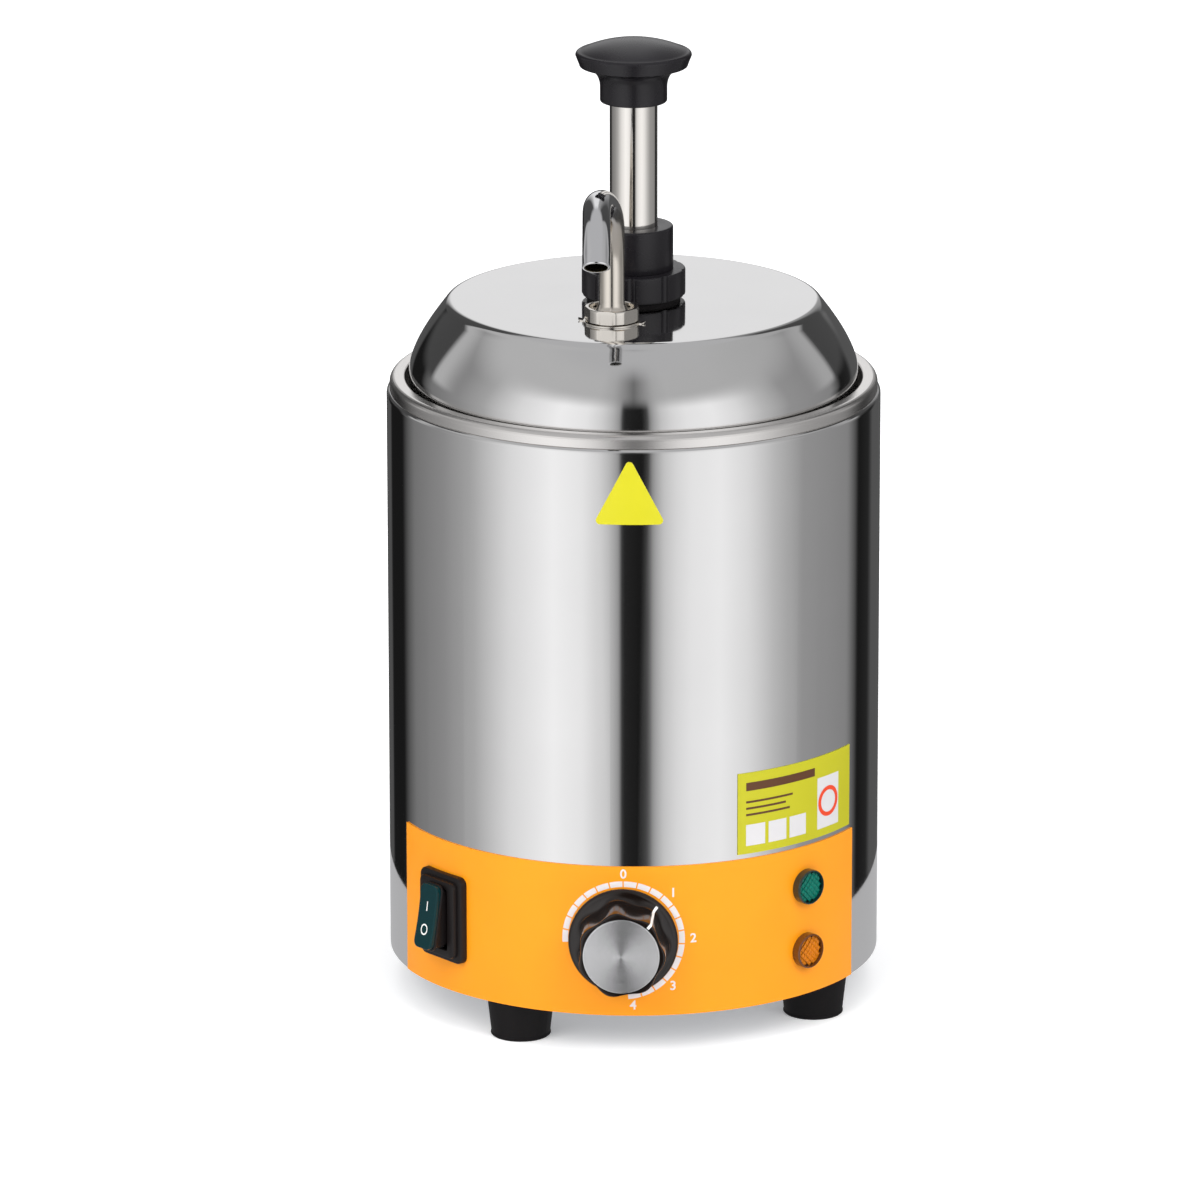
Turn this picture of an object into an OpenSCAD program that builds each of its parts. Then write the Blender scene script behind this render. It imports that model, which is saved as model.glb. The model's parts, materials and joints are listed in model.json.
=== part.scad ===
// Hot fudge topping warmer with a plunger pump, in millimetres.
// The origin is on the floor under the axis of the casing. +Z is up and the control panel faces -Y.
// An azimuth is counted from the front of the object, positive towards +X.

/* [Casing and feet] */
// Outer diameter of the polished casing
casing_d = 195; // [188:1:210]
// Height of the casing from its lower edge to the seam under the ring
casing_h = 229; // [224:1:245]
// Thickness of the casing sheet
casing_wall = 1; // [0.8:0.1:1.4]
// Inner bend radius of the shoulder at the top of the casing
shoulder_bend = 1; // [0.8:0.1:2]
// Height of a foot
foot_h = 16; // [14:0.5:22]
// Radius of a foot at its top
foot_top_r = 13.3; // [12.5:0.1:14]
// Radius of a foot at the floor
foot_floor_r = 11.4; // [10.5:0.1:12]
// Azimuth of the first foot, with the others every quarter turn
foot_azimuth = -29.6; // [-35:0.1:-25]

/* [Water well and jar] */
// How far the ring stands back from the casing's outer surface
ring_setback = 1.2; // [0.8:0.1:2]
// Width of the brushed ring, seen from above
ring_w = 6; // [5:0.1:8]
// Height of the ring above the seam
ring_h = 5; // [4:0.1:7]
// Depth of the ledge for the jar below the top of the ring
ledge_drop = 12; // [11:0.5:16]
// Sheet thickness of the well
well_wall = 1.2; // [1:0.1:1.5]
// Width of the ledge that carries the jar
ledge_w = 4.5; // [3.5:0.1:6]
// Water gap between the wall of the well and the jar
water_gap = 13; // [10:0.5:16]
// Height of the space for the controls, from the casing's lower edge to the underside of the well
bay_h = 76.8; // [73:0.2:82]
// Sheet thickness of the jar
jar_wall = 1; // [0.8:0.1:1.2]
// Water depth under the jar
under_jar_gap = 9; // [6:0.5:12]

/* [Lid] */
// Height of the lid from the jar's flange to its flat top
lid_h = 42; // [38:0.5:46]
// Gap between the lid's skirt and the ring
lid_gap = 1.8; // [1.2:0.1:2.5]
// Sheet thickness of the lid
lid_wall = 1; // [0.8:0.1:1.2]

/* [Pump] */
// Outer radius of the polished plunger tube
stem_r = 9.4; // [8:0.1:9.4]
// Wall of the plunger tube
stem_wall = 1.4; // [1:0.1:1.8]
// Travel of the plunger
stroke = 45; // [40:0.5:47]
// Inner radius of the pump cylinder
pump_r = 13.5; // [13:0.1:14]
// Wall of the pump cylinder
pump_wall = 1.5; // [1.2:0.1:1.8]
// Radius of the scalloped lock collar
lock_r = 20.4; // [19.5:0.1:22]
// Height of the scalloped lock collar
lock_h = 10.7; // [9:0.1:13]
// Number of grooves round the lock collar
lock_grooves = 9; // [6:1:12]
// Radius of the plain bush above the lock collar
bush_r = 15.6; // [14.5:0.1:17]
// Height of the plain bush
bush_h = 17.2; // [14:0.1:20]
// Largest radius of the plunger knob
knob_r = 22.8; // [20:0.1:25]
// Height of the plunger knob
knob_h = 24.8; // [21:0.1:27]
// Turns of the return spring
spring_turns = 9; // [6:1:11]
// Wire diameter of the return spring
spring_wire = 1.6; // [1.2:0.1:1.8]

/* [Spout] */
// Radius of the riser and spout tube
spout_r = 5; // [4.5:0.1:5.4]
// Wall of the spout tube
spout_wall = 1; // [0.8:0.1:1.2]
// Distance from the pump axis to the riser
riser_reach = 39.9; // [38:0.1:43]
// Azimuth of the riser
riser_azimuth = -9.9; // [-14:0.1:-6]
// Azimuth in which the spout points
spout_azimuth = 2.3; // [-8:0.1:6]
// How far the bend carries the spout to the left of the riser, seen from the front
spout_drift = 5.7; // [0:0.1:7]
// By what share the bend widens the tube, and flattens it by as much
spout_flatten = 0.08; // [0:0.01:0.12]
// Bend radius of the spout's centre line
spout_bend = 36; // [32:0.5:40]
// Angle through which the spout turns
spout_turn = 141; // [130:1:150]
// Straight end of the spout after the bend
spout_end = 5; // [3:0.5:10]
// Width across the flats of the spout nut
spout_nut_af = 18.6; // [18:0.1:21]
// Height of the spout nut
spout_nut_h = 5.4; // [4.5:0.1:7]

/* [Control panel] */
// Height of the control panel film
panel_h = 61; // [58:0.5:66]
// Half of the angle that the film spans
panel_half_angle = 64; // [60:1:70]
// Thickness of the film
panel_t = 0.5; // [0.4:0.1:0.8]
// Height of the temperature knob's axis above the casing's lower edge
dial_rise = 31; // [29:0.5:33]
// Radius of the temperature knob's skirt
dial_skirt_r = 21.5; // [20:0.1:23]
// Radius over the lobes of the temperature knob's grip
dial_grip_r = 17.6; // [17:0.1:18.4]
// Depth of the temperature knob from the panel to its front
dial_depth = 20; // [17:0.5:23]
// Number of lobes round the grip
dial_lobes = 7; // [6:1:9]
// Radius of the spun aluminium cap
dial_cap_r = 15; // [14:0.1:15.4]
// Angle of the pointer from the top at rest, clockwise as seen from the front
dial_pointer_angle = 42; // [0:1:180]
// Azimuth of the rocker switch
switch_azimuth = -47; // [-50:0.5:-43]
// Width of the switch frame
switch_w = 25; // [24:0.1:27]
// Height of the switch frame
switch_h = 35.5; // [34:0.1:38]
// Angle by which the rocker leans in each position
rocker_lean = 10; // [8:0.5:11]
// Azimuth of the two lamps
lamp_azimuth = 46; // [43:0.1:48]
// Height of the power lamp above the casing's lower edge
power_lamp_rise = 44.7; // [40:0.1:50]
// Height of the heat lamp above the casing's lower edge
heat_lamp_rise = 18.4; // [12:0.1:24]
// Radius of a lamp's bezel
lamp_r = 7; // [6.5:0.1:7.8]

/* [Stickers] */
// Width of the triangular sticker
triangle_w = 26; // [22:0.5:30]
// Height of the triangular sticker
triangle_h = 25; // [20:0.5:28]
// Distance from the seam down to the top of the triangular sticker
triangle_drop = 4.7; // [3:0.1:12]
// Azimuth of the triangular sticker
triangle_azimuth = 1.4; // [-4:0.1:4]
// Height of the rectangular sticker
label_h = 33; // [28:0.5:36]
// Gap between the control panel and the rectangular sticker
label_gap = 2; // [1:0.5:6]
// Azimuth of the rectangular sticker's middle
label_azimuth = 44.8; // [42:0.1:48]
// Angle that the rectangular sticker spans
label_angle = 35.8; // [32:0.1:38]

/* [Cable entry] */
// Radius of the cable that the gland takes
cable_r = 3.6; // [3:0.1:4.2]
// Height of the cable gland above the casing's lower edge
gland_rise = 24; // [22:0.5:34]
// How far the gland stands out of the casing
gland_out = 21.4; // [19:0.1:24]

/* [Hidden] */

$fn = 96;
// Overrun of every cut past the surface that it opens
cut = 1;
// Clearances: running fit of a shaft, and room round a fitting in its hole
fit = 0.05;
ease = 0.3;
// Layer of glue under the film and the stickers
glue = 0.05;
// Steps in a rounded corner and in a drawn curve
corner_steps = 6;
curve_steps = 10;
quarter = 90;

// Casing
casing_r = casing_d / 2;
casing_in_r = casing_r - casing_wall;
z_casing = foot_h;
z_seam = z_casing + casing_h;
shoulder_r = shoulder_bend + casing_wall;

// Ring and well
ring_r = casing_r - ring_setback;
mouth_r = ring_r - ring_w;
z_ring = z_seam + ring_h;
ring_round = 2.5;
z_ledge = z_ring - ledge_drop;
well_r = mouth_r - ledge_w;
well_bend = 8;
casing_mouth_r = mouth_r + well_wall + ease;

// Jar
jar_r = well_r - water_gap;
jar_in_r = jar_r - jar_wall;
jar_flange_r = mouth_r - lid_gap / 2;
jar_bend = 12;
z_well_under = z_casing + bay_h;
z_well_floor = z_well_under + well_wall;
z_jar = z_well_floor + under_jar_gap;
z_jar_floor = z_jar + jar_wall;
z_flange = z_ledge + jar_wall;

// Lid, whose side is drawn from shares of the skirt's radius and of the height
lid_r = mouth_r - lid_gap;
z_lid = z_flange + lid_h;
z_lid_under = z_lid - lid_wall;
lid_skirt_share = 0.345;
lid_belly_shares = [0.984, 0.571];
lid_shoulder_shares = [0.846, 0.94];
lid_edge_shares = [0.829, 1];
lid_flat_shares = [0.8, 1];

// Pump gasket, lock collar and bush
gasket_t = 1.6;
neck_r = pump_r + pump_wall / 2;
z_lock = z_lid + gasket_t;
z_bush = z_lock + lock_h;
z_bush_top = z_bush + bush_h;
knob_rest_gap = 4.6;
z_knob = z_bush_top + stroke + knob_rest_gap;
z_apex = z_knob + knob_h;
lock_chamfer = 1;
groove_r = 2.2;
groove_depth = 1.1;
bush_chamfer = 1.2;
spigot_h = 8;
flange_lip = 4.5;
flange_r = neck_r + flange_lip;
flange_t = 2;

// Pump cylinder, valve body and balls
pump_out_r = pump_r + pump_wall;
valve_clear = 3;
z_valve = z_jar_floor + valve_clear;
valve_wall = 2.5;
valve_r = pump_out_r + valve_wall;
valve_floor_t = 3;
inlet_r = 3.2;
inlet_ball_r = 4.5;
inlet_ball_lift = 2.5;
ball_spare = 0.5;
inlet_seat_rise = sqrt(inlet_ball_r * inlet_ball_r - inlet_r * inlet_r);
chamber_h = inlet_seat_rise + ease + inlet_ball_r + inlet_ball_lift + ball_spare;
chamber_r = 6.5;
z_chamber = z_valve + valve_floor_t;
z_spring = z_chamber + chamber_h + valve_floor_t;
valve_socket = 18;
z_valve_top = z_spring + valve_socket;
transfer_r = 3.5;
notch_w = 5;
notch_h = 2;
arm_w = 13;
riser_socket_wall = 3;
riser_socket_r = spout_r + riser_socket_wall;
outlet_floor = 10;
z_outlet = z_valve + outlet_floor;
outlet_seat_r = 3;
outlet_ball_r = 4.4;
outlet_ball_lift = 2;
outlet_seat_rise = sqrt(outlet_ball_r * outlet_ball_r - outlet_seat_r * outlet_seat_r);
z_riser = z_outlet + outlet_seat_rise + ease + outlet_ball_r + outlet_ball_lift + ball_spare;
riser_grip = 4;
z_riser_socket = z_riser + riser_grip;
port_r = 3;
port_z_share = 0.5;

// Discharge tube and spout fittings
fitting_r = 6.5;
fitting_drop = 8;
fitting_flange_r = 9;
washer_t = 1;
washer_r = 11.2;
washer_tab_w = 3;
washer_tab = 2.2;
z_spout_nut = z_lid + washer_t;
z_spout_nut_top = z_spout_nut + spout_nut_h;
nut_recess = 2;
nut_recess_r = 8;
z_spout_foot = z_spout_nut_top - nut_recess;
spout_flare_h = 4;
spout_rise = 15.2;
bend_steps = 24;
// The part of the bend in which the spout drifts sideways and flattens
drift_from = 30;
drift_to = 105;
spout_sides = 32;
nut_chamfer = 1;

// Piston train
stem_in_r = stem_r - stem_wall;
stem_socket = 12;
z_stem_top = z_knob + stem_socket;
z_stop = z_bush - spigot_h;
stop_t = 5;
stop_gap = 1;
stop_r = pump_r - stop_gap;
spring_spare = 16.6;
spring_rest = stroke + spring_turns * spring_wire + spring_spare;
z_piston = z_spring + spring_rest;
piston_h = 12;
piston_gap = 0.6;
piston_r = pump_r - piston_gap;
piston_boss_h = 10;
piston_boss_r = stem_in_r - fit;
seal_h = 3;
seal_r = pump_r - fit;
seal_depth = 1.6;
seal_rise_share = 0.5;
screw_r = 2;
screw_head_r = 4;
screw_head_t = 2.4;
spring_gap = 1.2;
spring_coil_r = pump_r - spring_wire / 2 - spring_gap;
spring_sides = 6;
spring_ring_steps = 16;

// Plunger knob, drawn from shares of its radius and its height
knob_neck_r = 13.2;
knob_neck_edge = 0.8;
knob_dome_shares = [0.437, 1];
knob_crown_shares = [0.9, 0.802];
knob_rim_shares = [1, 0.76];
knob_widest_shares = [1, 0.75];
knob_lip_shares = [0.935, 0.55];
knob_cup_shares = [0.596, 0.508];
knob_throat_share = 0.254;

// Panel and its fittings
skin_r = casing_r + glue;
panel_r = skin_r + panel_t;
z_dial = z_casing + dial_rise;
panel_gap = 1;
dial_skirt_t = 2.6;
dial_skirt_slope = 2;
dial_hollow_r = 12.5;
dial_hollow = 6;
dial_valley_r = 6;
dial_valley = 1.6;
dial_cap_sink = 1.6;
dial_cap_proud = 0.8;
dial_edge = 1;
pointer_w = 1.6;
pointer_t = 0.4;
shaft_r = 3;
shaft_flat = 0.8;
shaft_reach = 15;
shaft_inside = 14;
bushing_r = 4.8;
bushing_out = 5;
thermostat_w = 38;
thermostat_h = 36;
thermostat_deep = 26;
thermostat_boss_r = 8;
thermostat_boss_h = 3;
thermostat_nut_af = 14;
thermostat_nut_t = 2.2;
z_sensor = 8;

// Rocker switch, measured from the outer surface of the film
switch_rise = 30.5;
z_switch = z_casing + switch_rise;
switch_round = 3;
switch_boss_round = 2.5;
switch_body_round = 1;
switch_brim = 2.2;
switch_boss_inset = 2.2;
switch_boss = 2.2;
switch_body_inset = 3;
switch_body_deep = 24;
switch_cut_ease = 0.4;
window_w = 12.6;
window_h = 24.6;
rocker_gap = 0.5;
rocker_w = window_w - 2 * rocker_gap;
rocker_r = window_h / 2 - rocker_gap;
rocker_axis_out = 2.6;
rocker_face_rise = 7;
rocker_end_rise = 7.6;
rocker_split = 5.4;
rocker_head_rise = 4.6;
rocker_head_over = 1.1;
rocker_head_half = window_h / 2 + rocker_head_over;
rocker_round = 2.5;
rocker_back = 5.5;
rocker_pin_r = 1.2;
rocker_pin = 1.3;
rocker_well = 8;
blade_w = 6.3;
blade_t = 0.8;
blade_l = 9;

// Lamps
lamp_rises = [power_lamp_rise, heat_lamp_rise];
lamp_proud = 3.4;
lamp_round = 1.4;
lamp_body_r = 4.9;
lamp_body_deep = 20;
lamp_nut_af = 13;
lamp_nut_t = 3;
lamp_blade_w = 2.8;
lamp_pitch = 4.4;

// Stickers
sticker_t = 0.25;
z_triangle = z_seam - triangle_drop - triangle_h;
sticker_round = 1.6;

// Base plate, brackets, feet and their fasteners
base_t = 1.2;
z_base = z_casing + base_t;
base_r = casing_in_r - ease;
vent_w = 4;
vent_l = 26;
vent_pitch = 10;
vents = 5;
bracket_azimuths = [20, 140, 260];
bracket_t = 1.5;
bracket_deep = 13;
bracket_h = 14;
bracket_angle = 9;
base_screw_r = 1.7;
base_screw_head_r = 3.4;
base_screw_head_t = 1.8;
base_screw_l = 6;
foot_inset = 0.2;
foot_ring_r = casing_r - foot_top_r - foot_inset;
foot_bead = 0.5;
foot_bead_h = 1.4;
foot_recess_r = 5;
foot_recess = 8.5;
foot_screw_r = 2;
foot_screw_head_r = 4;
foot_screw_head_t = 2.6;
foot_nut_af = 7;
foot_nut_t = 3;
foot_count = 4;

// Heater
heater_r = 60;
heater_t = 6;
heater_eye_r = 13;
z_heater = z_well_under - heater_t;
element_ring_r = 44;
element_r = 3.6;
element_span = 300;
element_leg = 11;
element_sleeve_r = 4.6;
element_pin_r = 1.5;
element_pin = 6;
z_element = z_heater - element_r - ease;
clamp_in_r = 38;
clamp_out_r = 58;
clamp_t = 1.5;
clamp_gap_margin = 20;
clamp_gap_angle = 360 - element_span + 2 * clamp_gap_margin;
z_clamp = z_element - element_r - clamp_t;
stud_r = 2.5;
stud_ring_r = 53;
stud_margin = 20;
stud_azimuths = [0, 2 * quarter - clamp_gap_angle / 2 - stud_margin,
    2 * quarter + clamp_gap_angle / 2 + stud_margin];
stud_tail = 7;
stud_nut_af = 8;
stud_nut_t = 4;
cutoff_r = 8.2;
cutoff_below = 5;
cutoff_ear_l = 34;
cutoff_ear_w = 9;
cutoff_ear_t = 1;
bulb_r = 3;
bulb_l = 36;
bulb_y = -25;
clip_l = 8;
clip_w = 13;
clip_t = 1.2;
capillary_r = 1;
capillary_sides = 8;

// Terminal block, earth screw and cable gland
block_l = 34;
block_w = 16;
block_h = 14;
block_inset = 44.2;
block_y = base_r - block_inset;
block_ways = 3;
block_pitch = 10;
block_hole_r = 2.6;
block_screw_r = 2;
earth_inset = 35.14;
earth_azimuth = 148.4;
earth_x = (base_r - earth_inset) * sin(earth_azimuth);
earth_y = -(base_r - earth_inset) * cos(earth_azimuth);
earth_r = 2;
earth_h = 10;
earth_tab_w = 7;
earth_tab_l = 14;
earth_tab_t = 0.8;
z_gland = z_casing + gland_rise;
gland_thread_r = 7.8;
gland_tail = 9;
gland_hex_af = 19;
gland_hex_t = 5;
gland_body_r = 8.4;
gland_cap_r = 9.2;
gland_body_share = 0.55;
gland_round = 2;
gland_nut_t = 4;

// Colours
steel = "silver";
dark_steel = "dimgray";
black = "#1c1c1e";
orange = "#ff9d1e";

// The distance from the axis at which a flat nut's corners meet the inner wall of the casing
function nut_seat_r(across_flats) = sqrt(casing_in_r * casing_in_r - across_flats * across_flats / 3);

function on_arc(centre, r, from, to, steps) =
    [for (i = [0:steps]) let (a = from + (to - from) * i / steps) centre + r * [cos(a), sin(a)]];

function on_curve(a, b, c, steps) =
    [for (i = [0:steps]) let (t = i / steps) (1 - t) * (1 - t) * a + 2 * t * (1 - t) * b + t * t * c];

// A point of the plunger knob or the lid from its shares of a radius and a height
function shared(shares, r, h) = [shares[0] * r, shares[1] * h];

// Turns its children so that what faces -Y faces the azimuth
module facing(azimuth) {
    rotate([0, 0, azimuth]) children();
}

// Carries a fitting to the wall: its +Z points outward, its +Y up and its +X to the right from the front
module on_wall(azimuth, r, z) {
    facing(azimuth) translate([0, -r, z]) rotate([quarter, 0, 0]) children();
}

// Copies its children round the axis, at a radius, once for each azimuth
module around(azimuths, r) {
    for (a = azimuths) facing(a) translate([0, -r, 0]) children();
}

module tube(outer, inner, h) {
    difference() {
        cylinder(r = outer, h = h);
        translate([0, 0, -cut]) cylinder(r = inner, h = h + 2 * cut);
    }
}

module hexagon(across_flats, h) {
    cylinder(r = across_flats / sqrt(3), h = h, $fn = 6);
}

module chamfered(r, h, chamfer) {
    rotate_extrude() polygon([[0, 0], [r - chamfer, 0], [r, chamfer], [r, h - chamfer], [r - chamfer, h],
        [0, h]]);
}

// A plate with round corners in the XY plane, centred, of height h
module rounded_plate(w, l, r, h) {
    translate([-w / 2 + r, -l / 2, 0]) cube([w - 2 * r, l, h]);
    translate([-w / 2, -l / 2 + r, 0]) cube([w, l - 2 * r, h]);
    for (x = [-1, 1], y = [-1, 1]) translate([x * (w / 2 - r), y * (l / 2 - r), 0]) cylinder(r = r, h = h);
}

// Rings of points joined into one closed pipe with flat ends
module pipe(rings) {
    sides = len(rings[0]);
    last = len(rings) - 1;
    polyhedron(
        points = [for (ring = rings) each ring],
        faces = concat(
            [[for (k = [0:sides - 1]) k]],
            [for (i = [0:last - 1], k = [0:sides - 1], half = [0, 1]) let (
                    a = i * sides + k, b = i * sides + (k + 1) % sides, c = b + sides, d = a + sides)
                half == 0 ? [a, d, b] : [b, d, c]],
            [[for (k = [sides - 1:-1:0]) last * sides + k]]));
}

// A closed pipe with a bore, from as many outer rings as inner rings
module hollow_pipe(outer, inner) {
    sides = len(outer[0]);
    last = len(outer) - 1;
    bore = len(outer) * sides;
    polyhedron(
        points = concat([for (ring = outer) each ring], [for (ring = inner) each ring]),
        faces = [for (i = [0:last], k = [0:sides - 1]) let (
                a = i * sides + k, b = i * sides + (k + 1) % sides, c = b + sides, d = a + sides)
            each concat(
                i < last ? [[a, d, b], [b, d, c], [bore + a, bore + b, bore + d], [bore + b, bore + c,
                    bore + d]] : [],
                i == 0 ? [[a, b, bore + b], [a, bore + b, bore + a]] : [],
                i == last ? [[b, a, bore + a], [b, bore + a, bore + b]] : [])]);
}

// The ring of points round a point, square to the direction d, with its first point towards u
function ring_about(p, d, u, r, sides) =
    let (v = cross(d, u)) [for (k = [0:sides - 1]) p + r * (cos(360 * k / sides)
        * u + sin(360 * k / sides) * v)];

function ring_at(p, direction, r, sides) =
    let (d = direction / norm(direction), u = cross([0.31, 0.47, 0.83], d))
    ring_about(p, d, u / norm(u), r, sides);

function route_rings(points, r, sides) =
    [for (i = [0:len(points) - 1]) let (
            before = points[max(i - 1, 0)], after = points[min(i + 1, len(points) - 1)])
        ring_at(points[i], after - before, r, sides)];

// What is left outside or inside the surface of the film
module seated_on_film(z, h) {
    difference() {
        children();
        translate([0, 0, z - h]) cylinder(r = panel_r, h = 2 * h, $fn = 360);
    }
}

module held_in_film(z, h) {
    intersection() {
        children();
        translate([0, 0, z - h]) cylinder(r = panel_r, h = 2 * h, $fn = 360);
    }
}

// The openings that the controls need in the casing and in the film
module control_openings() {
    on_wall(0, casing_r, z_dial) translate([0, 0, -casing_r / 4]) cylinder(r = bushing_r + ease,
        h = casing_r / 2);
    on_wall(switch_azimuth, casing_r, z_switch) translate([0, 0, -casing_r / 4])
        rounded_plate(switch_w - switch_body_inset + switch_cut_ease, switch_h - 2 * switch_body_inset
            + switch_cut_ease, switch_body_round, casing_r / 2);
    for (rise = lamp_rises) on_wall(lamp_azimuth, casing_r, z_casing + rise)
        translate([0, 0, -casing_r / 4]) cylinder(r = lamp_body_r + ease, h = casing_r / 2);
}

module casing() {
    corner = [casing_r - shoulder_r, z_seam - shoulder_r];
    color(steel) difference() {
        rotate_extrude($fn = 360) polygon(concat(
            [[casing_in_r, z_casing], [casing_r, z_casing]],
            on_arc(corner, shoulder_r, 0, quarter, corner_steps),
            [[casing_mouth_r, z_seam], [casing_mouth_r, z_seam - casing_wall]],
            on_arc(corner, shoulder_bend, quarter, 0, corner_steps)));
        control_openings();
        on_wall(2 * quarter, casing_r, z_gland) translate([0, 0, -casing_r / 4])
            cylinder(r = gland_thread_r + ease, h = casing_r / 2);
    }
}

// The brushed ring with the ledge that carries the jar
module well_ring() {
    small_round = well_wall / 2;
    color(steel) rotate_extrude($fn = 360) polygon(concat(
        [[ring_r, z_seam]],
        on_arc([ring_r - ring_round, z_ring - ring_round], ring_round, 0, quarter, corner_steps),
        on_arc([mouth_r + small_round, z_ring - small_round], small_round, quarter, 2 * quarter,
            corner_steps),
        [[mouth_r, z_ledge], [well_r, z_ledge], [well_r, z_ledge - well_wall],
            [mouth_r + well_wall, z_ledge - well_wall], [mouth_r + well_wall, z_ring - ring_round],
            [ring_r - well_wall, z_ring - ring_round], [ring_r - well_wall, z_seam]]));
}

module water_well() {
    z_low = z_well_floor + well_bend;
    color(steel) translate([0, 0, z_low]) rotate_extrude($fn = 360)
        translate([well_r, 0]) square([well_wall, z_ledge - well_wall - z_low]);
}

module well_floor() {
    bend_out = well_bend + well_wall;
    color(steel) {
        rotate_extrude($fn = 360) polygon(concat(
            on_arc([well_r - well_bend, z_well_floor + well_bend], well_bend, 0, -quarter, corner_steps),
            [[0, z_well_floor], [0, z_well_under]],
            on_arc([well_r - well_bend, z_well_floor + well_bend], bend_out, -quarter, 0, corner_steps)));
        around(stud_azimuths, stud_ring_r) translate([0, 0, z_clamp - stud_tail])
            cylinder(r = stud_r, h = z_well_under - z_clamp + stud_tail + well_wall / 2);
    }
}

// A skin that lies on the casing: a band of film or a sticker
module wall_band(r, t, z, h, azimuth, angle) {
    facing(azimuth - angle / 2 - quarter) rotate_extrude(angle = angle, $fn = 360) translate([r, z])
        square([t, h]);
}

module control_panel() {
    color(orange) difference() {
        wall_band(skin_r, panel_t, z_casing, panel_h, 0, 2 * panel_half_angle);
        control_openings();
    }
}

module triangle_sticker() {
    side_slope = triangle_w / 2 - sticker_round;
    color("yellow") intersection() {
        wall_band(skin_r, sticker_t, z_triangle, triangle_h, triangle_azimuth, panel_half_angle);
        on_wall(triangle_azimuth, casing_r, z_triangle) translate([0, 0, -casing_r / 2])
            hull() {
                for (x = [-side_slope, side_slope]) translate([x, sticker_round, 0])
                    cylinder(r = sticker_round, h = casing_r, $fn = 32);
                translate([0, triangle_h - sticker_round, 0]) cylinder(r = sticker_round, h = casing_r,
                    $fn = 32);
            }
    }
}

module label_sticker() {
    color("yellow")
        wall_band(skin_r, sticker_t, z_casing + panel_h + label_gap, label_h, label_azimuth, label_angle);
}

module base_plate() {
    color(dark_steel) difference() {
        translate([0, 0, z_casing]) cylinder(r = base_r, h = base_t);
        for (i = [0:vents - 1]) translate([-vent_l / 2, (i - (vents - 1) / 2) * vent_pitch - vent_w / 2,
            z_casing - cut])
            cube([vent_l, vent_w, base_t + 2 * cut]);
        around([for (i = [0:foot_count - 1]) foot_azimuth + 360 * i / foot_count], foot_ring_r)
            translate([0, 0, z_casing - cut]) cylinder(r = foot_screw_r + ease, h = base_t + 2 * cut);
        around(bracket_azimuths, base_r - bracket_deep / 2)
            translate([0, 0, z_casing - cut]) cylinder(r = base_screw_r + ease, h = base_t + 2 * cut);
        translate([earth_x, earth_y, z_casing - cut]) cylinder(r = earth_r + ease, h = base_t + 2 * cut);
    }
}

module base_brackets() {
    color(steel) for (a = bracket_azimuths) difference() {
        facing(a - bracket_angle / 2 - quarter) rotate_extrude(angle = bracket_angle, $fn = 360)
            translate([casing_in_r, z_base]) polygon([[0, 0], [0, bracket_h], [-bracket_t, bracket_h],
                [-bracket_t, bracket_t], [-bracket_deep, bracket_t], [-bracket_deep, 0]]);
        around([a], base_r - bracket_deep / 2) translate([0, 0, z_base - cut])
            cylinder(r = base_screw_r + fit, h = bracket_t + 2 * cut);
    }
}

module base_screws() {
    color(dark_steel) around(bracket_azimuths, base_r - bracket_deep / 2) {
        translate([0, 0, z_casing - base_screw_head_t]) cylinder(r = base_screw_head_r,
            h = base_screw_head_t);
        translate([0, 0, z_casing - base_screw_head_t / 2])
            cylinder(r = base_screw_r, h = base_screw_l + base_screw_head_t / 2);
    }
}

module feet() {
    color(black) around([for (i = [0:foot_count - 1]) foot_azimuth + 360 * i / foot_count], foot_ring_r)
        rotate_extrude() polygon([
            [foot_recess_r, 0], [foot_floor_r, 0], [foot_floor_r + foot_bead, foot_bead],
            [foot_floor_r + foot_bead, foot_bead_h - foot_bead], [foot_floor_r + foot_bead / 2, foot_bead_h],
            [foot_top_r, foot_h], [foot_screw_r + ease, foot_h], [foot_screw_r + ease, foot_recess],
            [foot_recess_r, foot_recess]]);
}

module foot_screws() {
    color(steel) around([for (i = [0:foot_count - 1]) foot_azimuth + 360 * i / foot_count], foot_ring_r) {
        translate([0, 0, foot_recess - foot_screw_head_t]) cylinder(r = foot_screw_head_r,
            h = foot_screw_head_t);
        translate([0, 0, foot_recess - foot_screw_head_t / 2])
            cylinder(r = foot_screw_r, h = z_base + foot_nut_t - foot_recess + foot_screw_head_t);
    }
}

module foot_nuts() {
    color(steel) around([for (i = [0:foot_count - 1]) foot_azimuth + 360 * i / foot_count], foot_ring_r)
        translate([0, 0, z_base]) difference() {
            hexagon(foot_nut_af, foot_nut_t);
            translate([0, 0, -cut]) cylinder(r = foot_screw_r + fit, h = foot_nut_t + 2 * cut);
        }
}

module switch_frame() {
    color(black) seated_on_film(z_switch, switch_h) on_wall(switch_azimuth, panel_r, z_switch) difference() {
        union() {
            translate([0, 0, -switch_brim]) rounded_plate(switch_w, switch_h, switch_round, 2 * switch_brim);
            rounded_plate(switch_w - 2 * switch_boss_inset, switch_h - 2 * switch_boss_inset,
                switch_boss_round, switch_brim + switch_boss);
        }
        translate([-window_w / 2, -window_h / 2, -switch_brim - cut])
            cube([window_w, window_h, 2 * switch_brim + switch_boss + 2 * cut]);
        translate([0, 0, rocker_axis_out]) rotate([0, quarter, 0])
            cylinder(r = rocker_pin_r + fit, h = window_w + 2 * rocker_pin + 2 * ease, center = true);
    }
}

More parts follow.
